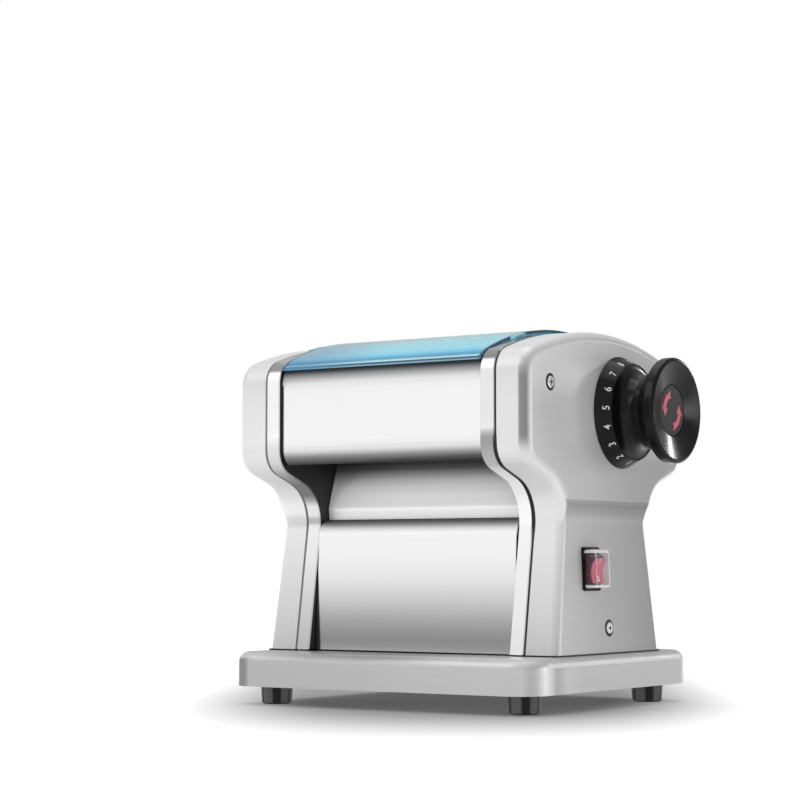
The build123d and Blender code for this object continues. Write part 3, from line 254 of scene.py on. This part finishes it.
def foot_shader():
    """Black moulded rubber with a painted highlight (sheen) on the sides that face the studio's lights."""
    material, tree, shader, colour = finish(
        "foot_rubber", (0.003, 0.003, 0.0035), (0.008, 0.008, 0.0085), 0.0, 0.4, 0.06, 700, ALL, 0.2,
        Specular_IOR_Level=0.2)
    # Painted highlight: lighter where the foot faces front or to the side
    front = smooth(tree, absolute(tree, facing(tree, "Y")), 0.90, 0.97)
    flank = bell(tree, absolute(tree, facing(tree, "X")), 0.72, 0.86, 0.975, 1.0)
    sheen = every(tree, calc(tree, "MAXIMUM", front, flank), upright(tree))
    recolour(tree, shader, mix(tree, sheen, colour, grey(0.10)))
    return material


def gasket_shader():
    """Black strip with painted light: greyer on the left, where it lies in full light."""
    material, tree, shader, colour = finish(
        "gasket_rubber", (0.004, 0.004, 0.0045), (0.010, 0.010, 0.0105), 0.0, 0.5, 0.06, 700, ALL, 0.2,
        Specular_IOR_Level=0.2)
    # Painted light: the strip turns grey towards the left
    recolour(tree, shader, mix(tree, smooth(tree, place_on(tree, "X"), 0.0, -0.08), colour, grey(0.2)))
    return material


# ---------------------------------------------------------------- covers
# Painted shade and light by height, as (millimetres up, factor)
RIM_SHADES = [(42, 0.66), (60, 0.70), (82, 0.76), (105, 0.82), (125, 0.88), (145, 0.94), (160, 0.96), (180, 0.92),
              (200, 0.86), (225, 0.86), (245, 0.82), (258, 0.72), (275, 0.84), (290, 0.90)]
LEFT_RIM_SHADES = [(138, 1.0), (141, 0.82), (146, 0.82), (151, 1.05), (157, 1.05), (163, 0.92), (176, 0.82),
                   (190, 0.92), (205, 1.0)]
WAIST_SHADES = [(140.5, 1.0), (143, 0.92), (147, 0.71), (151, 0.60), (154.8, 0.49), (155.8, 0.60), (157.5, 0.62),
                (158.3, 1.0)]
# Painted shadow in the seam between cover and frame, on the knob's side
SEAM_ZONE = (0.125, 0.14, 0.196, 0.21)   # heights between which the black seam beside the covers is wider
SEAM_BLACK, SEAM_CLEAR, SEAM_GAIN = 0.0859, 0.0862, 0.0004


def satin_cover_shader():
    """Brushed casting with painted light and shade: a paler rim, a face that darkens to the back,
    a painted dark reflection down its front corner, painted shade at its waist and in the seam by the frame.
    """
    material, tree, shader, colour = finish(
        "satin_cover", (0.78, 0.78, 0.782), (0.83, 0.83, 0.832), 0.3, 0.42, 0.04, 900, (1, 0.03, 1), 0.06)
    side, front = absolute(tree, facing(tree, "X")), absolute(tree, facing(tree, "Y"))
    high, along, right = place_on(tree, "Z"), place_on(tree, "Y"), on_right(tree)

    # Painted shade: the face darker towards the back, lighter up high and beside the dial, shaded in the waist's band
    to_back = linear(tree, along, -0.11, 0.08, 0.78, 0.38)
    upper = every(tree, smooth(tree, high, 0.13, 0.19), smooth(tree, along, -0.1, 0.05), 0.08)
    by_dial = every(tree, bell(tree, high, 0.185, 0.215, 0.250, 0.268), smooth(tree, along, -0.10, -0.03), 0.24)
    flat = calc(tree, "ADD", to_back, calc(tree, "ADD", upper, by_dial))
    flat = mix(tree, 1.0, flat, by_height(tree, WAIST_SHADES), "MULTIPLY")
    shade = mix(tree, smooth(tree, side, 0.86, 0.97), by_height(tree, RIM_SHADES), flat)

    # Painted dark reflection down the rounded front corner, on the knob's side
    corner = every(tree, bell(tree, side, 0.02, 0.2, 0.7, 0.99), smooth(tree, front, 0.05, 0.2),
                   bell(tree, high, 0.188, 0.205, 0.245, 0.266), right)
    shade = mix(tree, corner, shade, grey(0.28))
    # Painted light and shade on the left cover's rim, by height
    left_rim = mix(tree, right, by_height(tree, LEFT_RIM_SHADES), grey(1.0))
    shade = mix(tree, 1.0, shade, left_rim, "MULTIPLY")

    # Painted shadow in the seam beside the frame, wider between the seam heights
    wider = calc(tree, "MULTIPLY", bell(tree, high, *SEAM_ZONE), SEAM_GAIN)
    seam = smooth(tree, calc(tree, "SUBTRACT", place_on(tree, "X"), wider), SEAM_CLEAR, SEAM_BLACK)
    shade = mix(tree, calc(tree, "MULTIPLY", seam, right), shade, grey(0.02))
    tinted(tree, shader, colour, shade)
    return material


def screw_shader():
    """Nickel-plated head, with painted shade on all of it that lies down in the cover's recess, its cross included."""
    material, tree, shader, colour = finish(
        "screw_nickel", (0.70, 0.69, 0.68), (0.84, 0.83, 0.81), 0.85, 0.3, 0.06, 600, ALL, 0.08)
    high = place_on(tree, "Z")
    below_waist = smooth(tree, high, LEAN_TOP - 0.001, LEAN_TOP - 0.002)
    lean = every(tree, calc(tree, "SUBTRACT", high, LEAN_FOOT), below_waist, COVER_LEAN)
    proud = calc(tree, "ADD", calc(tree, "SUBTRACT", from_middle(tree), COVER_FACE), lean)
    # Painted shade where the head lies below the cover's face
    recolour(tree, shader, mix(tree, smooth(tree, proud, 0.0007, 0.0), colour, grey(0.02)))
    return material


# ---------------------------------------------------------------- base
# Painted highlights and shade on the base's wall by how far it has turned, from 0 facing left over 0.5 facing front or
# back to 1 facing right
CORNER_SHADES = [(0.0, 1.0), (0.06, 0.60), (0.2, 0.30), (0.36, 0.48), (0.45, 0.92), (0.5, 0.93), (0.70, 0.98),
                 (0.78, 1.04), (0.83, 0.97), (0.88, 0.90), (0.93, 1.02), (0.965, 1.31), (0.99, 1.55), (1.0, 1.5)]
# Painted light and shade on its right wall, from the front corner backwards
FLANK_SHADES = [(0.0, 1.5), (0.10, 1.35), (0.18, 1.1), (0.24, 0.88), (0.32, 0.90), (0.40, 0.97), (0.56, 1.15),
                (0.70, 1.14), (1.0, 1.06)]
# Painted light and shade on its top, from left to right
TOP_SHADES = [(0.0, 0.98), (0.2, 0.66), (0.38, 0.59), (0.55, 0.78), (0.70, 1.08), (0.84, 1.08), (1.0, 1.12)]


def satin_base_shader():
    """Brushed tray with painted light and shade: a painted bright streak down each rounded corner, the walls darker to
    the left.
    """
    material, tree, shader, colour = finish(
        "satin_base", (0.49, 0.49, 0.495), (0.53, 0.53, 0.535), 0.3, 0.42, 0.04, 800, (0.05, 0.05, 1), 0.04)
    turn = scaled(tree, facing(tree, "X"), 0.5, 0.5)
    # Painted shade: the walls a little darker towards the left
    front = smooth(tree, place_on(tree, "X"), -0.13, 0.10, 0.89, 1.0)
    wall = calc(tree, "MULTIPLY", grey_ramp(tree, turn, CORNER_SHADES), front)
    flank = grey_ramp(tree, linear(tree, place_on(tree, "Y"), -0.105, -0.055), FLANK_SHADES)
    wall = mix(tree, smooth(tree, turn, 0.992, 0.998), wall, flank)
    top = grey_ramp(tree, linear(tree, place_on(tree, "X"), -0.13, 0.12), TOP_SHADES)
    tinted(tree, shader, colour, mix(tree, upright(tree), top, wall))
    return material


# ---------------------------------------------------------------- frames
# Painted reflections by turn, from 0 facing down to 1 facing up
FRAME_TURN_SHADES = [(0.0, 0.10), (0.15, 0.30), (0.27, 0.50), (0.38, 0.75), (0.46, 0.95), (0.58, 0.97), (0.68, 0.62),
                     (0.78, 0.30), (0.90, 0.36), (0.98, 0.62)]
# Painted reflections and shade by height, as (millimetres up, factor)
LEFT_SHADES = [(42, 0.50), (82, 0.67), (113, 0.86), (140, 0.90), (190, 0.97), (292, 0.97)]
RIGHT_SHADES = [(42, 0.81), (82, 0.88), (150, 0.97), (190, 0.92), (205, 0.86), (292, 0.86)]
LEFT_NECK_SHADES = [(136, 0.84), (140, 0.80), (143, 0.46), (145.5, 0.48), (149, 0.80), (156, 0.80), (160, 0.40),
                    (164, 0.17), (173, 0.16), (179, 0.30), (184, 0.50), (190, 0.60), (200, 0.66), (214, 0.90)]
RIGHT_NECK_SHADES = [(136, 0.99), (174, 0.99), (179, 0.82), (183, 0.54), (190, 0.40), (198, 0.31), (203, 0.31),
                     (207, 0.50), (212, 0.90), (214, 0.97)]
INNER_WALL = (0.0937, 0.0932)            # from the middle plane: bright, and black
# From the middle plane: clear, and black with the seam's painted shadow
OUTER_EDGE = (0.1040, 0.1043)


def polished_frame_shader():
    """Polished rim with painted reflections, dark where it turns up or down, and softer in the neck under painted
    shade.
    The wall that faces the rollers is black, and the outer edge along the neck is painted black as the seam's shadow."""
    material, tree, shader, colour = finish(
        "polished_frame", (0.94, 0.94, 0.945), (0.98, 0.98, 0.985), 1.0, 0.2, 0.04, 900, (0.05, 1, 1), 0.04)
    out, side = from_middle(tree), absolute(tree, facing(tree, "X"))
    high, right = place_on(tree, "Z"), on_right(tree)

    # Painted reflections and shade by height and turn, and in the neck
    legs = mix(tree, right, by_height(tree, LEFT_SHADES), by_height(tree, RIGHT_SHADES))
    by_turn = grey_ramp(tree, scaled(tree, facing(tree, "Z"), 0.5, 0.5), FRAME_TURN_SHADES)
    shade = mix(tree, 1.0, by_turn, legs, "MULTIPLY")
    necks = mix(tree, right, by_height(tree, LEFT_NECK_SHADES), by_height(tree, RIGHT_NECK_SHADES))
    to_front = smooth(tree, facing(tree, "Y"), 0.0, -0.05)
    neck = calc(tree, "MULTIPLY", bell(tree, high, 0.136, 0.142, 0.206, 0.214), to_front)
    shade = mix(tree, neck, shade, necks)
    shade = mix(tree, smooth(tree, side, 0.8, 0.95), shade, grey(0.9))

    wall = every(tree, smooth(tree, side, 0.9, 0.97), smooth(tree, out, *INNER_WALL))
    # Painted shadow of the seam along the outer edge
    edge = every(tree, smooth(tree, out, *OUTER_EDGE), bell(tree, high, *SEAM_ZONE))
    black = calc(tree, "MAXIMUM", wall, edge)
    recolour(tree, shader, mix(tree, black, mix(tree, 1.0, colour, shade, "MULTIPLY"), grey(0.012)))

    soft = calc(tree, "MAXIMUM", black, calc(tree, "MULTIPLY", neck, 0.8))
    feed(tree, shader.inputs["Metallic"], calc(tree, "SUBTRACT", 1.0, soft))
    rough = shader.inputs["Roughness"].links[0].from_socket
    feed(tree, shader.inputs["Roughness"], mix(tree, soft, rough, grey(0.5)))
    return material


# ---------------------------------------------------------------- panels and chutes
# Painted reflections and shade by height, as (millimetres up, display grey)
HEAD_TONES = [(187, 52), (190, 92), (193, 130), (196, 185), (199, 228), (202, 240), (205, 244), (241, 244),
              (245, 240), (248, 231), (251, 200), (254, 159), (257, 118), (260, 80)]
LOWER_TONES = [(42, 165), (46, 146), (51, 138), (59, 151), (66.5, 167), (74, 185), (82, 202), (90, 216), (97, 228),
               (105, 234), (113, 240), (122, 243), (131, 243), (134, 240), (136.5, 228), (138.2, 215), (140.7, 165),
               (143.2, 100), (144.5, 70)]
CHUTE_TONES = [(145, 240), (151, 242), (153, 252), (156, 252), (158, 250), (165, 255), (170, 250), (175, 222),
               (180, 164), (185, 98), (190, 60)]
DECK_TONES = [(150, 232), (262, 236)]


def sheet_shader(name, tones, metallic=1.0, rough=0.16, dull=None):
    """Polished sheet with painted reflections and shade that follow its height.
    Between the two heights in dull it turns from a mirror to a soft finish."""
    material, tree, shader, colour = finish(
        name, (0.975, 0.975, 0.978), (0.995, 0.995, 0.998), metallic, rough, 0.02, 1400, (0.02, 1, 1), 0.02)
    # Painted reflections and shade by height
    tinted(tree, shader, colour, by_height(tree, [(height, tone(level)) for height, level in tones]))
    if dull:
        low, high = dull[0] * MM, dull[1] * MM
        soft = smooth(tree, place_on(tree, "Z"), low, high)
        feed(tree, shader.inputs["Metallic"], scaled(tree, soft, -0.75, 1.0))
        feed(tree, shader.inputs["Roughness"], smooth(tree, place_on(tree, "Z"), low, high, rough, 0.6))
    return material


# ---------------------------------------------------------------- hood, switch boot and lens
# Blues by height, with painted light and shade, from the foot of the hood's lip to just under its crown
HOOD_BLUES = [(0.0, (0.16, 0.32, 0.42)), (0.05, (0.20, 0.40, 0.52)), (0.068, (0.01, 0.08, 0.16)),
              (0.10, (0.0, 0.06, 0.14)), (0.125, (0.62, 0.97, 1.0)), (0.16, (0.55, 0.95, 1.0)),
              (0.185, (0.13, 0.50, 0.76)), (0.27, (0.13, 0.56, 0.84)), (0.33, (0.22, 0.76, 0.98)),
              (0.42, (0.30, 0.84, 1.0)), (0.7, (0.36, 0.88, 1.0)), (1.0, (0.42, 0.90, 1.0))]
# Painted shade: a darker blue towards the left and along the cut edges
HOOD_LEFT_BLUE, HOOD_EDGE_BLUE = (0.10, 0.32, 0.56, 1), (0.03, 0.12, 0.21, 1)


def blue_hood_shader():
    """Clear blue sheet with painted light and shade: a light line on its front edge, a navy one over it, paler towards
    the crown, darker to the left and along its edges.
    Like glass it lets less through at a glancing angle."""
    material, tree, shader, colour = finish(
        "blue_hood", (0.93, 0.93, 0.93), (0.99, 0.99, 0.99), 0.0, 0.07, 0.02, 120, ALL, 0.02, IOR=1.45)
    glancing = put(tree, "LayerWeight", Blend=0.5).outputs["Facing"]
    level = smooth(tree, absolute(tree, facing(tree, "Z")), 0.6, 0.8)
    clearer = every(tree, smooth(tree, glancing, 0.66, 0.40), level, 0.47)
    feed(tree, shader.inputs["Transmission Weight"], calc(tree, "ADD", clearer, 0.35))

    # Painted light and shade in the blue by height, towards the left and at the edges
    share = linear(tree, place_on(tree, "Z"), 0.260, 0.290)
    blue = ramp(tree, share, [(place, (*tint, 1)) for place, tint in HOOD_BLUES])
    left = smooth(tree, place_on(tree, "X"), -0.01, -0.105, 0.0, 0.72)
    blue = mix(tree, left, blue, HOOD_LEFT_BLUE)
    cut = calc(tree, "MULTIPLY", smooth(tree, absolute(tree, facing(tree, "X")), 0.5, 0.8), 0.25)
    edge = calc(tree, "MAXIMUM", cut, bell(tree, from_middle(tree), 0.0893, 0.0903, 0.0925, 0.0931))
    tinted(tree, shader, colour, mix(tree, edge, blue, HOOD_EDGE_BLUE))
    return material


def clear_boot_shader():
    """Clear soft moulding, milky along its thick upper, lower and rear walls."""
    material, tree, shader, colour = finish(
        "clear_boot", (0.96, 0.96, 0.96), (1.0, 1.0, 1.0), 0.0, 0.08, 0.02, 200, ALL, 0.03, IOR=1.2)
    rear = smooth(tree, place_on(tree, "Y"), SWITCH_Y + 0.0084, SWITCH_Y + 0.0089)
    from_switch = absolute(tree, calc(tree, "SUBTRACT", place_on(tree, "Z"), SWITCH_Z))
    ends = smooth(tree, from_switch, 0.0118, 0.0123)
    milky = calc(tree, "MULTIPLY", calc(tree, "MAXIMUM", rear, ends), 0.55)
    feed(tree, shader.inputs["Transmission Weight"], calc(tree, "SUBTRACT", 1.0, milky))
    shader.inputs["Coat Weight"].default_value = 0.6
    shader.inputs["Coat Roughness"].default_value = 0.22
    return material


def lens_shader():
    """Translucent red face with darker sides, and a faint painted glow on its face."""
    material, tree, shader, colour = finish(
        "lens_red", (0.42, 0.022, 0.075), (0.54, 0.035, 0.11), 0.0, 0.22, 0.04, 300, ALL, 0.05)
    face = smooth(tree, facing(tree, "X"), 0.5, 0.8)
    recolour(tree, shader, mix(tree, face, (0.08, 0.006, 0.024, 1), colour))
    # Painted glow: the face gives off a little red light
    shader.inputs["Emission Color"].default_value = (0.85, 0.08, 0.20, 1)
    feed(tree, shader.inputs["Emission Strength"], calc(tree, "MULTIPLY", face, 0.12))
    return material


# ---------------------------------------------------------------- materials on the CAD nodes
by_slot = {
    "satin_base": satin_base_shader(),
    "satin_cover": satin_cover_shader(),
    "polished_frame": polished_frame_shader(),
    "stainless_panel": sheet_shader("stainless_panel", DECK_TONES),
    "clear_boot": clear_boot_shader(),
    "blue_hood": blue_hood_shader(),
    **plain,
}
head_sheet = sheet_shader("head_sheet", HEAD_TONES, dull=(247, 252))
lower_sheet = sheet_shader("lower_sheet", LOWER_TONES, dull=(131, 136))
chute_sheet = sheet_shader("chute_sheet", CHUTE_TONES, 0.2, 0.3)
by_node = {
    "head_panel_front": head_sheet, "head_panel_rear": head_sheet,
    "lower_panel_front": lower_sheet, "lower_panel_rear": lower_sheet,
    "dough_chute": chute_sheet, "noodle_chute": chute_sheet,
    "cover_screws": screw_shader(), "base_feet": foot_shader(), "cover_gaskets": gasket_shader(),
    "switch_housing": plain["switch_black"],
}

for name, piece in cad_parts.items():
    for place in piece.material_slots:
        found = [slot for slot in by_slot if place.material and place.material.name.startswith(slot)]
        place.material = by_node.get(name, by_slot[found[0]])


# ---------------------------------------------------------------- new pieces
PRINT_LIFT = 0.00004                     # how far a print stands off what it is printed on


def add_mesh(name, points, faces, material, body):
    """Makes a mesh piece that rides on a body."""
    mesh = bpy.data.meshes.new(name)
    mesh.from_pydata([tuple(p) for p in points], [], faces)
    mesh.update()
    piece = bpy.data.objects.new(name, mesh)
    scene.collection.objects.link(piece)
    mesh.materials.append(material)
    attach(piece, body)
    return piece


# ---------------------------------------------------------------- numbers on the knob's skirt
skirt_low, skirt_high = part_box("thickness_knob")
DIAL_X = skirt_low.x
DIAL_Y = (skirt_low.y + skirt_high.y) / 2
DIAL_Z = (skirt_low.z + skirt_high.z) / 2
SKIRT_FOOT, SKIRT_TOP, SKIRT_RISE = 0.0436, 0.0375, 0.012
NUMBER_STEP, NUMBER_TURN, NUMBER_ALONG = radians(21.6), radians(1.5), 0.70
NUMBER_SIZE, NUMBER_THICK, NUMBER_BOLD = 0.0078, 0.00004, 0.00003


def dial_frame(angle, along):
    """Matrix on the skirt's cone: X along the tangent, Y outwards and down the cone, Z off the surface.
    The angle turns from +Y towards +Z, and along is the share of the way up the cone."""
    outwards = Vector((0, cos(angle), sin(angle)))
    slope = (outwards * (SKIRT_FOOT - SKIRT_TOP) + Vector((-SKIRT_RISE, 0, 0))).normalized()
    across = Vector((0, -sin(angle), cos(angle)))
    normal = across.cross(slope)
    if normal.dot(outwards) < 0:
        across, normal = -across, -normal
    radius = SKIRT_FOOT + (SKIRT_TOP - SKIRT_FOOT) * along
    place = Vector((DIAL_X + SKIRT_RISE * along, DIAL_Y, DIAL_Z)) + outwards * radius
    turn = Matrix((across, slope, normal)).transposed().to_4x4()
    return Matrix.Translation(place + normal * PRINT_LIFT) @ turn


for number in range(1, 10):
    curve = bpy.data.curves.new(f"dial_number_{number}", "FONT")
    curve.body = str(number)
    curve.align_x, curve.align_y = "CENTER", "CENTER"
    curve.size, curve.extrude, curve.offset = NUMBER_SIZE, NUMBER_THICK, NUMBER_BOLD
    mark = bpy.data.objects.new(f"dial_number_{number}", curve)
    scene.collection.objects.link(mark)
    mark.matrix_world = dial_frame(pi / 2 + (9 - number) * NUMBER_STEP + NUMBER_TURN, NUMBER_ALONG)
    curve.materials.append(plain["print_white"])
    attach(mark, "knob")


# ---------------------------------------------------------------- arrows on the knob's cap
CAP_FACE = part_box("knob_cap")[1].x
ARROW_RADIUS, ARROW_HALF, BARB_HALF, TAIL_HALF = 0.0122, 0.0022, 0.0045, 0.0033
ARROW_STEPS, TAIL_SHARE, NOTCH_DEGREES, BARB_DEGREES = 14, 0.2, 7.0, 4


def on_cap(degrees_up, radius):
    angle = radians(degrees_up)
    return (CAP_FACE + PRINT_LIFT, DIAL_Y + radius * cos(angle), DIAL_Z + radius * sin(angle))


def turning_arrow(name, tail, barb, tip):
    """Flat arrow bent round the cap's middle: a notched tail, a bent shaft and a barbed head."""
    points, faces = [], []
    for step in range(ARROW_STEPS + 1):
        share = step / ARROW_STEPS
        angle = tail + (barb - tail) * share
        in_tail = max(0.0, 1 - share / TAIL_SHARE)
        half = ARROW_HALF + (TAIL_HALF - ARROW_HALF) * in_tail
        points += [on_cap(angle, ARROW_RADIUS - half), on_cap(angle + NOTCH_DEGREES * in_tail, ARROW_RADIUS),
                   on_cap(angle, ARROW_RADIUS + half)]
        if step:
            base = 3 * step
            faces += [(base - 3, base, base + 1, base - 2), (base - 2, base + 1, base + 2, base - 1)]
    foot = len(points)
    points += [on_cap(barb - BARB_DEGREES, ARROW_RADIUS - BARB_HALF), on_cap(barb, ARROW_RADIUS),
               on_cap(barb - BARB_DEGREES, ARROW_RADIUS + BARB_HALF), on_cap(tip, ARROW_RADIUS)]
    faces += [(foot, foot + 3, foot + 1), (foot + 1, foot + 3, foot + 2)]
    return add_mesh(name, points, faces, plain["print_red"], "knob")


turning_arrow("cap_arrow_left", 97, 172, 203)
turning_arrow("cap_arrow_right", 277, 352, 383)


# ---------------------------------------------------------------- lens on the rocker, with its two marks
SWITCH_PLACE = Vector((0.130907 + MIDDLE_X, SWITCH_Y, SWITCH_Z))
ROCKER_PIVOT, ROCKER_TIP = -0.0035, radians(8)
LENS_HALF_WIDTH, LENS_HALF_HEIGHT, LENS_STEPS = 0.0086, 0.0093, 24
LENS_RISE, LENS_DISH = 0.0094, 0.0024    # over the rocker's pivot, and how much higher its ends are
SEAT_RISE, SEAT_DISH, SEAT_HALF_HEIGHT = 0.0061, 0.0020, 0.0101
# Across the lens, as (share of the half width, depth under its face); None is down on the rocker
LENS_SECTION = [(1.0, None), (1.0, 0.0008), (0.965, 0.0002), (0.9, 0.0),
                (-0.9, 0.0), (-0.965, 0.0002), (-1.0, 0.0008), (-1.0, None)]
rocker_frame = (Matrix.Translation(SWITCH_PLACE) @ Matrix.Rotation(-atan(COVER_LEAN), 4, "Y")
                @ Matrix.Translation((ROCKER_PIVOT, 0, 0)) @ Matrix.Rotation(ROCKER_TIP, 4, "Y"))


def lens_rise(high):
    """Height of the dished lens over the rocker's pivot."""
    return LENS_RISE + LENS_DISH * (abs(high) / LENS_HALF_HEIGHT) ** 1.5


def rocker_lens():
    """Translucent dished lens on the rocker, its long edges rounded over."""
    points, faces, wide = [], [], len(LENS_SECTION)
    for step in range(LENS_STEPS + 1):
        high = LENS_HALF_HEIGHT * (2 * step / LENS_STEPS - 1)
        seat = SEAT_RISE + SEAT_DISH * abs(high) / SEAT_HALF_HEIGHT
        for share, drop in LENS_SECTION:
            rise = seat if drop is None else lens_rise(high) - drop
            points.append(rocker_frame @ Vector((rise, LENS_HALF_WIDTH * share, high)))
    for step in range(LENS_STEPS):
        for side in range(wide):
            here, beside = step * wide + side, step * wide + (side + 1) % wide
            faces.append((here, beside, beside + wide, here + wide))
    faces += [tuple(reversed(range(wide))), tuple(range(LENS_STEPS * wide, (LENS_STEPS + 1) * wide))]
    return add_mesh("rocker_lens", points, faces, lens_shader(), "rocker")


def lens_mark(name, outline, faces):
    """Small print on the lens: outline points are (across, up) in metres."""
    points = [rocker_frame @ Vector((lens_rise(up) + PRINT_LIFT, across, up)) for across, up in outline]
    return add_mesh(name, points, faces, plain["print_white"], "rocker")


BAR_HALF, BAR_FOOT, BAR_STEP, BAR_STEPS = 0.00045, 0.0062, 0.0008, 4
RING_PLACE, RING_RADII, RING_STEPS = -0.0062, (0.0012, 0.0020), 20

rocker_lens()
bar = [(side * BAR_HALF, BAR_FOOT + step * BAR_STEP) for step in range(BAR_STEPS + 1) for side in (-1, 1)]
lens_mark("rocker_mark_on", bar, [(2 * n, 2 * n + 1, 2 * n + 3, 2 * n + 2) for n in range(BAR_STEPS)])
ring = [(radius * cos(2 * pi * n / RING_STEPS), RING_PLACE + radius * sin(2 * pi * n / RING_STEPS))
        for n in range(RING_STEPS) for radius in RING_RADII]
ring_faces = [(2 * n, 2 * n + 1, (2 * n + 3) % (2 * RING_STEPS), (2 * n + 2) % (2 * RING_STEPS))
              for n in range(RING_STEPS)]
lens_mark("rocker_mark_off", ring, ring_faces)


# ---------------------------------------------------------------- black rings of painted shade round the cover screws
SHADE_RING_INNER, SHADE_RING_OUTER, SHADE_RING_THICK, SHADE_RING_STEPS = 0.00505, 0.00645, 0.0009, 40
RECESS_DEPTH = 0.0016
# Side (1 right, -1 left), place along the side, height
COVER_SCREWS = [(1, -0.088, 0.244), (1, 0.088, 0.244), (1, 0.0, 0.061),
                (-1, 0.018, 0.262), (-1, 0.046, 0.148), (-1, 0.0, 0.061)]


def washer(name, side, across, high):
    """Black ring of painted shade round a cover screw, down in its recess."""
    face = COVER_FACE - (COVER_LEAN * (high - LEAN_FOOT) if high < LEAN_TOP else 0.0)
    low_x, high_x = face - RECESS_DEPTH, face - RECESS_DEPTH + SHADE_RING_THICK
    section = [(SHADE_RING_INNER, low_x), (SHADE_RING_INNER, high_x), (SHADE_RING_OUTER, high_x), (SHADE_RING_OUTER, low_x)]
    points, faces = [], []
    for n in range(SHADE_RING_STEPS):
        angle = 2 * pi * n / SHADE_RING_STEPS
        for radius, out in section:
            points.append((side * out + MIDDLE_X, across + radius * cos(angle), high + radius * sin(angle)))
        for corner in range(4):
            here, beside = 4 * n + corner, 4 * n + (corner + 1) % 4
            ahead = 4 * ((n + 1) % SHADE_RING_STEPS) - 4 * n
            faces.append((here, beside, beside + ahead, here + ahead))
    return add_mesh(name, points, faces, plain["rubber"], "root")


# Black rings down in the recesses: painted shade round each screw
for count, place in enumerate(COVER_SCREWS, 1):
    washer(f"screw_washer_{count}", *place)


# ---------------------------------------------------------------- floor and world
FLOOR_REACH = 12.0
# The painted shadow's oval on the floor: its middle, its turn, its half lengths and how square it is
SHADOW_PLACE, SHADOW_TURN, SHADOW_HALVES, SHADOW_POWER = (-0.149, 0.200, 0.0), 0.551, (0.092, 0.256, 1.0), 2.8


def floor_shader():
    """Pale matt floor that gives off light, less of it in an oval round the part: a painted shadow over the part's real
    one, and white further out.
    """
    material, tree, shader = new_shader("floor_white")
    recolour(tree, shader, ramp(tree, noise(tree, 3.0), [(0.3, grey(0.33)), (0.7, grey(0.35))]))
    shader.inputs["Roughness"].default_value = 0.9
    shader.inputs["Specular IOR Level"].default_value = 0.0
    here = put(tree, "Mapping", {"vector_type": "TEXTURE"}, Vector=put(tree, "TexCoord").outputs["Object"],
               Location=SHADOW_PLACE, Rotation=(0.0, 0.0, SHADOW_TURN), Scale=SHADOW_HALVES).outputs[0]
    parts = put(tree, "SeparateXYZ", Vector=here)
    powers = [calc(tree, "POWER", absolute(tree, parts.outputs[axis]), SHADOW_POWER) for axis in "XY"]
    away = calc(tree, "POWER", calc(tree, "ADD", *powers), 1 / SHADOW_POWER)
    # Painted shadow: the floor's glow falls off inside the oval
    glow = smooth(tree, away, 1.38, 2.8, 0.03, 0.84)
    path = put(tree, "LightPath")
    mirrored = mix(tree, path.outputs["Is Glossy Ray"], glow, calc(tree, "MAXIMUM", glow, 0.6))
    shown = mix(tree, path.outputs["Is Diffuse Ray"], mirrored, grey(0.7))
    shader.inputs["Emission Color"].default_value = (1, 1, 1, 1)
    feed(tree, shader.inputs["Emission Strength"], shown)
    return material


floor_mesh = bpy.data.meshes.new("floor")
corners = [(-FLOOR_REACH, -FLOOR_REACH, 0), (FLOOR_REACH, -FLOOR_REACH, 0),
           (FLOOR_REACH, FLOOR_REACH, 0), (-FLOOR_REACH, FLOOR_REACH, 0)]
floor_mesh.from_pydata(corners, [], [(0, 1, 2, 3)])
floor = bpy.data.objects.new("floor", floor_mesh)
floor_mesh.materials.append(floor_shader())
scene.collection.objects.link(floor)

world = bpy.data.worlds.new("studio")
scene.world = world
world.use_nodes = True
tree = world.node_tree
background = tree.nodes["Background"]
path = put(tree, "LightPath")
seen = calc(tree, "MAXIMUM", path.outputs["Is Camera Ray"], path.outputs["Is Transmission Ray"])
side_light = put(tree, "VectorMath", {"operation": "DOT_PRODUCT"}, i0=put(tree, "TexCoord").outputs["Generated"],
                 i1=(-0.56, -0.82, 0.1)).outputs["Value"]
around = smooth(tree, side_light, -0.7, 0.7, 0.45, 1.0)
background.inputs["Color"].default_value = (1, 1, 1, 1)
feed(tree, background.inputs["Strength"], mix(tree, seen, around, grey(1.0)))


# ---------------------------------------------------------------- lamps
def hang(name, light, place, aim):
    """Hangs a lamp that no camera sees at a place, aimed at a point."""
    body = bpy.data.objects.new(name, light)
    body.location = place
    turn_along(body, Vector(aim) - Vector(place))
    body.visible_camera = False
    scene.collection.objects.link(body)
    return body


def lamp(name, place, aim, size, power):
    light = bpy.data.lights.new(name, "AREA")
    light.shape, light.size, light.size_y = "RECTANGLE", *size
    light.energy = power
    return hang(name, light, place, aim)


BODY, KNOB = (0.0, 0.0, 0.15), (0.14, 0.02, 0.227)
lamp("key", (-1.2, -1.6, 1.9), BODY, (1.4, 1.4), 10)
lamp("top", (0.0, 0.3, 2.2), BODY, (1.8, 1.8), 14)
for name, place, size, power in [("glint_front", (-0.085, -1.18, 1.10), (0.5, 0.5), 2),
                                 ("glint_back", (0.59, 1.51, 0.60), (0.13, 0.18), 2.0),
                                 ("glint_side", (1.46, 0.75, 0.26), (0.22, 0.3), 2.8)]:
    lamp(name, place, KNOB, size, power).visible_diffuse = False    # only seen in the knob's reflections

snoot = bpy.data.lights.new("chute_light", "SPOT")
snoot.energy, snoot.spot_size, snoot.spot_blend, snoot.shadow_soft_size = 10.5, radians(9.5), 0.25, 0.05
hang("chute_light", snoot, (-0.5, -1.25, 0.26), (-0.02, -0.05, 0.165)).visible_glossy = False
